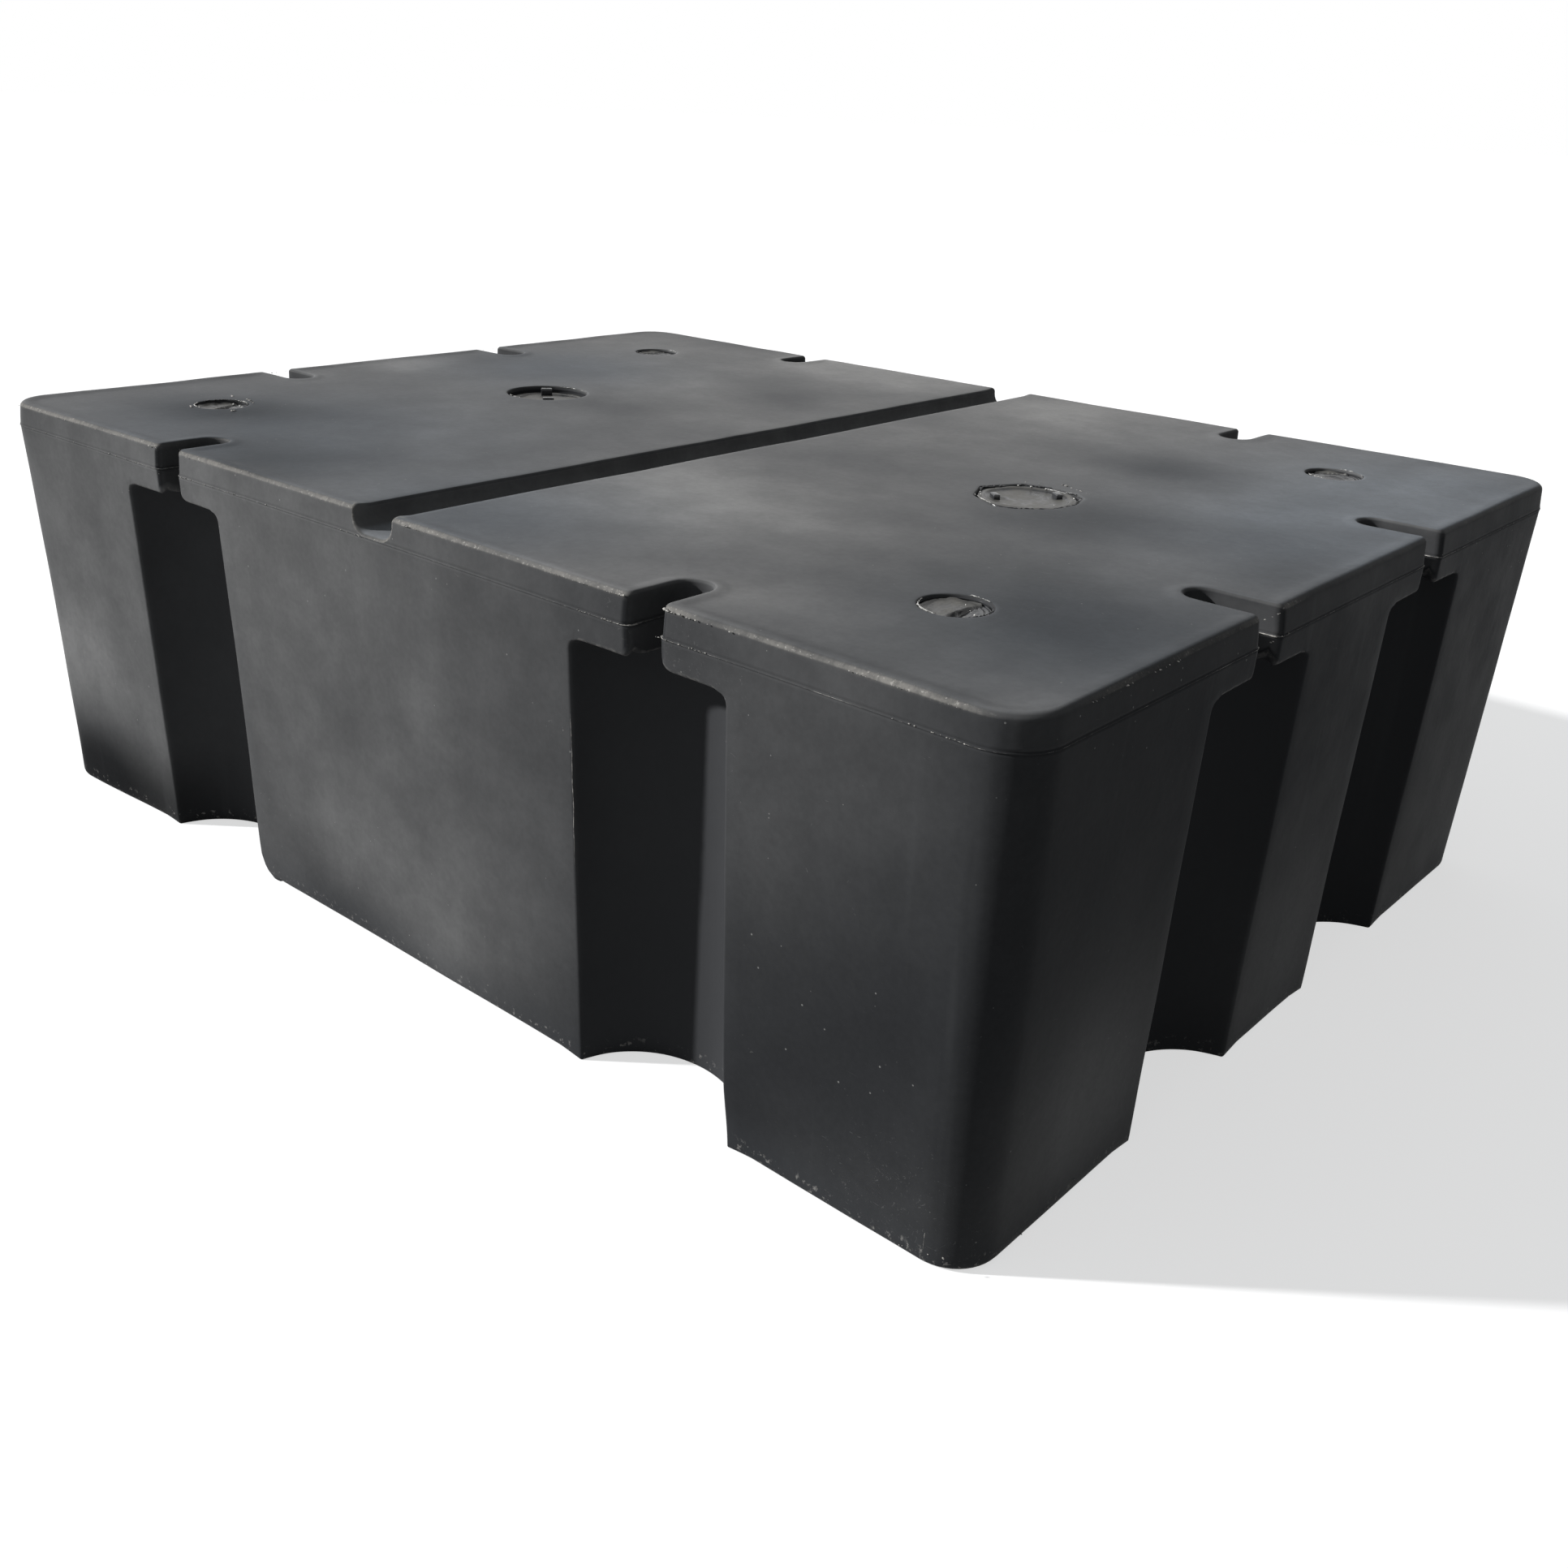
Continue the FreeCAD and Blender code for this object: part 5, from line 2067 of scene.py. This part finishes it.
    def specks(self, bench: NodeBench, place: Socket) -> Socket:
        """Sparse pale specks about a millimetre across.

        Args:
            bench: The material's bench.
            place: Coordinates.

        Returns:
            Their share.
        """
        cells = bench.add("TexVoronoi", {"Vector": place, "Scale": self.specks_per_metre})
        chance = bench.add("SeparateXYZ", {0: cells.outputs["Color"]})
        size = bench.span(chance.outputs[1], 0.0, 1.0, 0.05, 0.14)
        dots = bench.span(bench.math("DIVIDE", cells.outputs["Distance"], size), 0.5, 1.1, 1.0, 0.0)
        share = bench.span(bench.mask(Mask.SCUFF), 0.0, 1.0, 0.93, 0.84)
        return bench.times(dots, bench.math("GREATER_THAN", chance.outputs[0], share))

    def edge_wear_and_glint(self, bench: NodeBench, fine: Socket, place: Socket) -> Socket:
        """Pale flecks on the rims, the lip, the parting line and the foot: worn plastic, bright partly as
        painted glints.

        Args:
            bench: The material's bench.
            fine: Fine noise.
            place: Coordinates.

        Returns:
            Their share.
        """
        rim = bench.span(bench.mask(Mask.RIM), 0.1, 0.7, 0.0, 0.45)
        rim = bench.times(rim, bench.span(bench.noise(place, 420, 2, 0.6), 0.59, 0.70))
        lip = bench.times(bench.mask(Mask.LIP), bench.span(fine, 0.42, 0.66, 0.04, 0.22))
        seam = bench.span(bench.mask(Mask.SEAM), 0.1, 1.0)
        seam = bench.times(seam, bench.span(fine, 0.36, 0.58, 0.2, 1.0))
        low = bench.span(bench.mask(Mask.FOOT), 0.8, 1.0)
        low = bench.times(low, bench.span(fine, 0.58, 0.7, 0.0, 0.35))
        return bench.most(rim, lip, seam, low)


@dataclass(frozen=True)
class MeltedPlastic:
    """Shiny black plastic that was welded, dusty where it lies flat, with painted shade in its hollows and
    white bits that are partly painted glints.
    """

    name: str = "melted_plastic"
    base: Colour = (0.030, 0.031, 0.034)
    dust: Colour = (0.098, 0.095, 0.086)
    # Painted shade: the dark tone laid down the plug's side and into gaps on its face
    painted_shade_colour: Colour = (0.012, 0.012, 0.013)
    # Pale bits of melted plastic, made white partly as painted glints
    white: Colour = (0.62, 0.61, 0.58)
    gloss: float = 0.4
    roughness: float = 0.22
    dust_roughness: float = 0.34
    bump_strength: float = 0.35
    bump_depth: float = 0.0006

    def make(self) -> bpy.types.Material:
        """Build the material.

        Returns:
            The material.
        """
        bench = NodeBench(bpy.data.materials.new(self.name))
        place = bench.place()
        fine = bench.noise(place, 260, 3, 0.65)
        mottle = bench.noise(place, 70, 3, 0.6)
        dust = bench.times(bench.mask(Mask.HAZE), bench.span(mottle, 0.3, 0.7, 0.55, 1.1), clamp=True)
        colour = bench.blend(dust, self.base, self.dust)
        colour = bench.scaled(colour, bench.span(fine, 0.25, 0.75, 0.85, 1.15))
        # Painted shade in the hollows and down the plug's side
        colour = bench.blend(bench.times(bench.mask(Mask.NOOK), 0.9), colour, self.painted_shade_colour)
        # White bits: pale melted plastic, partly painted glints
        worn_and_glint = bench.times(bench.span(bench.mask(Mask.RIM), 0.1, 1.0), bench.span(fine, 0.3, 0.6, 0.45, 1.0))
        colour = bench.blend(worn_and_glint, colour, self.white)
        rough = bench.math("ADD", bench.times(dust, self.dust_roughness), self.roughness)
        relief = bench.noise(place, 210, 3, 0.6)
        bump = {"Strength": self.bump_strength, "Distance": self.bump_depth, "Height": relief}
        return bench.surface(colour, rough, self.gloss, bump)


@dataclass(frozen=True)
class Studio:
    """Pale floor, one broad lamp from the left and a soft sky."""

    floor_half: float = 60
    floor_seen: float = 0.60
    floor_glow: float = 0.62
    floor_bounce: float = 0.40
    sky_left: float = 0.34
    sky_right: float = 0.125
    sky_tint: Colour = (0.93, 0.97, 1)
    lamp_strength: float = 4.3
    lamp_turn: float = 50
    lamp_height: float = 25
    lamp_angle: float = 2.2

    def add_floor(self) -> None:
        """Lay the floor: white with the object's shadow where it is seen, pale grey to bounced light."""
        half = self.floor_half
        bench = NodeBench(bpy.data.materials.new("studio_floor"))
        tones = (self.floor_bounce, self.floor_seen)
        matte, seen = (bench.add("BsdfDiffuse", {"Color": (tone,) * 3}) for tone in tones)
        glow = bench.add("Emission", {"Strength": self.floor_glow})
        bench.split_rays(matte, bench.add("AddShader", {0: seen.outputs[0], 1: glow.outputs[0]}))
        mesh = bpy.data.meshes.new("studio_floor")
        corners = [(-half, -half, 0), (half, -half, 0), (half, half, 0), (-half, half, 0)]
        mesh.from_pydata(corners, [], [(0, 1, 2, 3)])
        mesh.materials.append(bench.owner)
        floor = bpy.data.objects.new("studio_floor", mesh)
        bpy.context.scene.collection.objects.link(floor)

    def add_lamp(self) -> None:
        """Hang a soft light to the left of the picture."""
        data = bpy.data.lights.new("key_light", "SUN")
        data.energy = self.lamp_strength
        data.angle = math.radians(self.lamp_angle)
        lamp = bpy.data.objects.new("key_light", data)
        turn, height = math.radians(self.lamp_turn), math.radians(self.lamp_height)
        flat = math.cos(height)
        way = Vector((-math.sin(turn) * flat, -math.cos(turn) * flat, math.sin(height)))
        lamp.rotation_euler = way.to_track_quat("Z", "Y").to_euler()
        bpy.context.scene.collection.objects.link(lamp)

    def add_sky(self) -> None:
        """Make a dim sky, lighter on the left, that the camera and mirrors see as white."""
        world = bpy.data.worlds.new("studio_sky")
        bench = NodeBench(world, "ShaderNodeOutputWorld")
        way = bench.add("SeparateXYZ", {0: bench.add("TexCoord").outputs["Generated"]}).outputs
        leftward = bench.math("SUBTRACT", bench.times(way["Y"], -0.6), way["X"])
        strength = bench.span(leftward, -0.7, 0.9, self.sky_right, self.sky_left)
        soft = bench.add("Background", {"Color": self.sky_tint, "Strength": strength})
        bench.split_rays(soft, bench.add("Background", {"Color": (1, 1, 1)}))
        bpy.context.scene.world = world

    def add(self) -> None:
        """Set the whole studio up."""
        bpy.context.scene.view_settings.view_transform = "Standard"
        self.add_floor()
        self.add_sky()
        self.add_lamp()


def make_plugs() -> list[Plug]:
    """All six plugs, each with its own turn, seed and melted places."""
    vent = {"recess": 5, "rings": 30, "columns": 108}
    fill = {"recess": 8, "rings": 34, "columns": 120}
    return [
        FillPlug("fill_plug_left", seed=2.3, turn=-39, **fill),
        FillPlug("fill_plug_right", seed=7.1, turn=51, corners=MELTED_RIM, collar=1.4, lift=4.2, lug_top=7.8,
                 lug_shift=(-4, 5), **fill),
        VentPlug("vent_plug_front_right", seed=1.7, rags=RAGS_FRONT_RIGHT, drops=DROPS_FRONT_RIGHT, **vent),
        VentPlug("vent_plug_front_left", seed=4.9, tongue_turn=203, tongue_edge=2.0, rags=RAGS_FRONT_LEFT,
                 drops=DROPS_FRONT_LEFT, **vent),
        VentPlug("vent_plug_back_right", seed=9.3, tongue_turn=120, tongue_edge=21,
                 rags=RAGS_BACK_RIGHT, **vent),
        VentPlug("vent_plug_back_left", seed=12.4, tongue_turn=160, tongue_edge=17,
                 rags=RAGS_BACK_LEFT, **vent),
    ]


def put(piece: bpy.types.Object, node: str, finish: bpy.types.Material) -> None:
    """Give a piece its finish and let it replace its node.

    Args:
        piece: The new piece.
        node: The node that it stands in for.
        finish: The material.
    """
    piece.data.materials.append(finish)
    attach(piece, "root")
    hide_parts(node)


def main() -> None:
    """Build the studio, the camera and every piece in order."""
    logging.basicConfig(level=logging.INFO, format="%(name)s: %(message)s")
    random.seed(SEED)
    noise.seed_set(SEED)
    PhotoCamera().add()
    Studio().add()
    polyethylene = BlackPolyethylene().make()
    melted = MeltedPlastic().make()
    plugs = make_plugs()
    put(FloatBody([plug.well() for plug in plugs]).build(), "float_body", polyethylene)
    for plug in plugs:
        put(plug.build(), plug.node, melted)


if __name__ == "__main__":
    main()
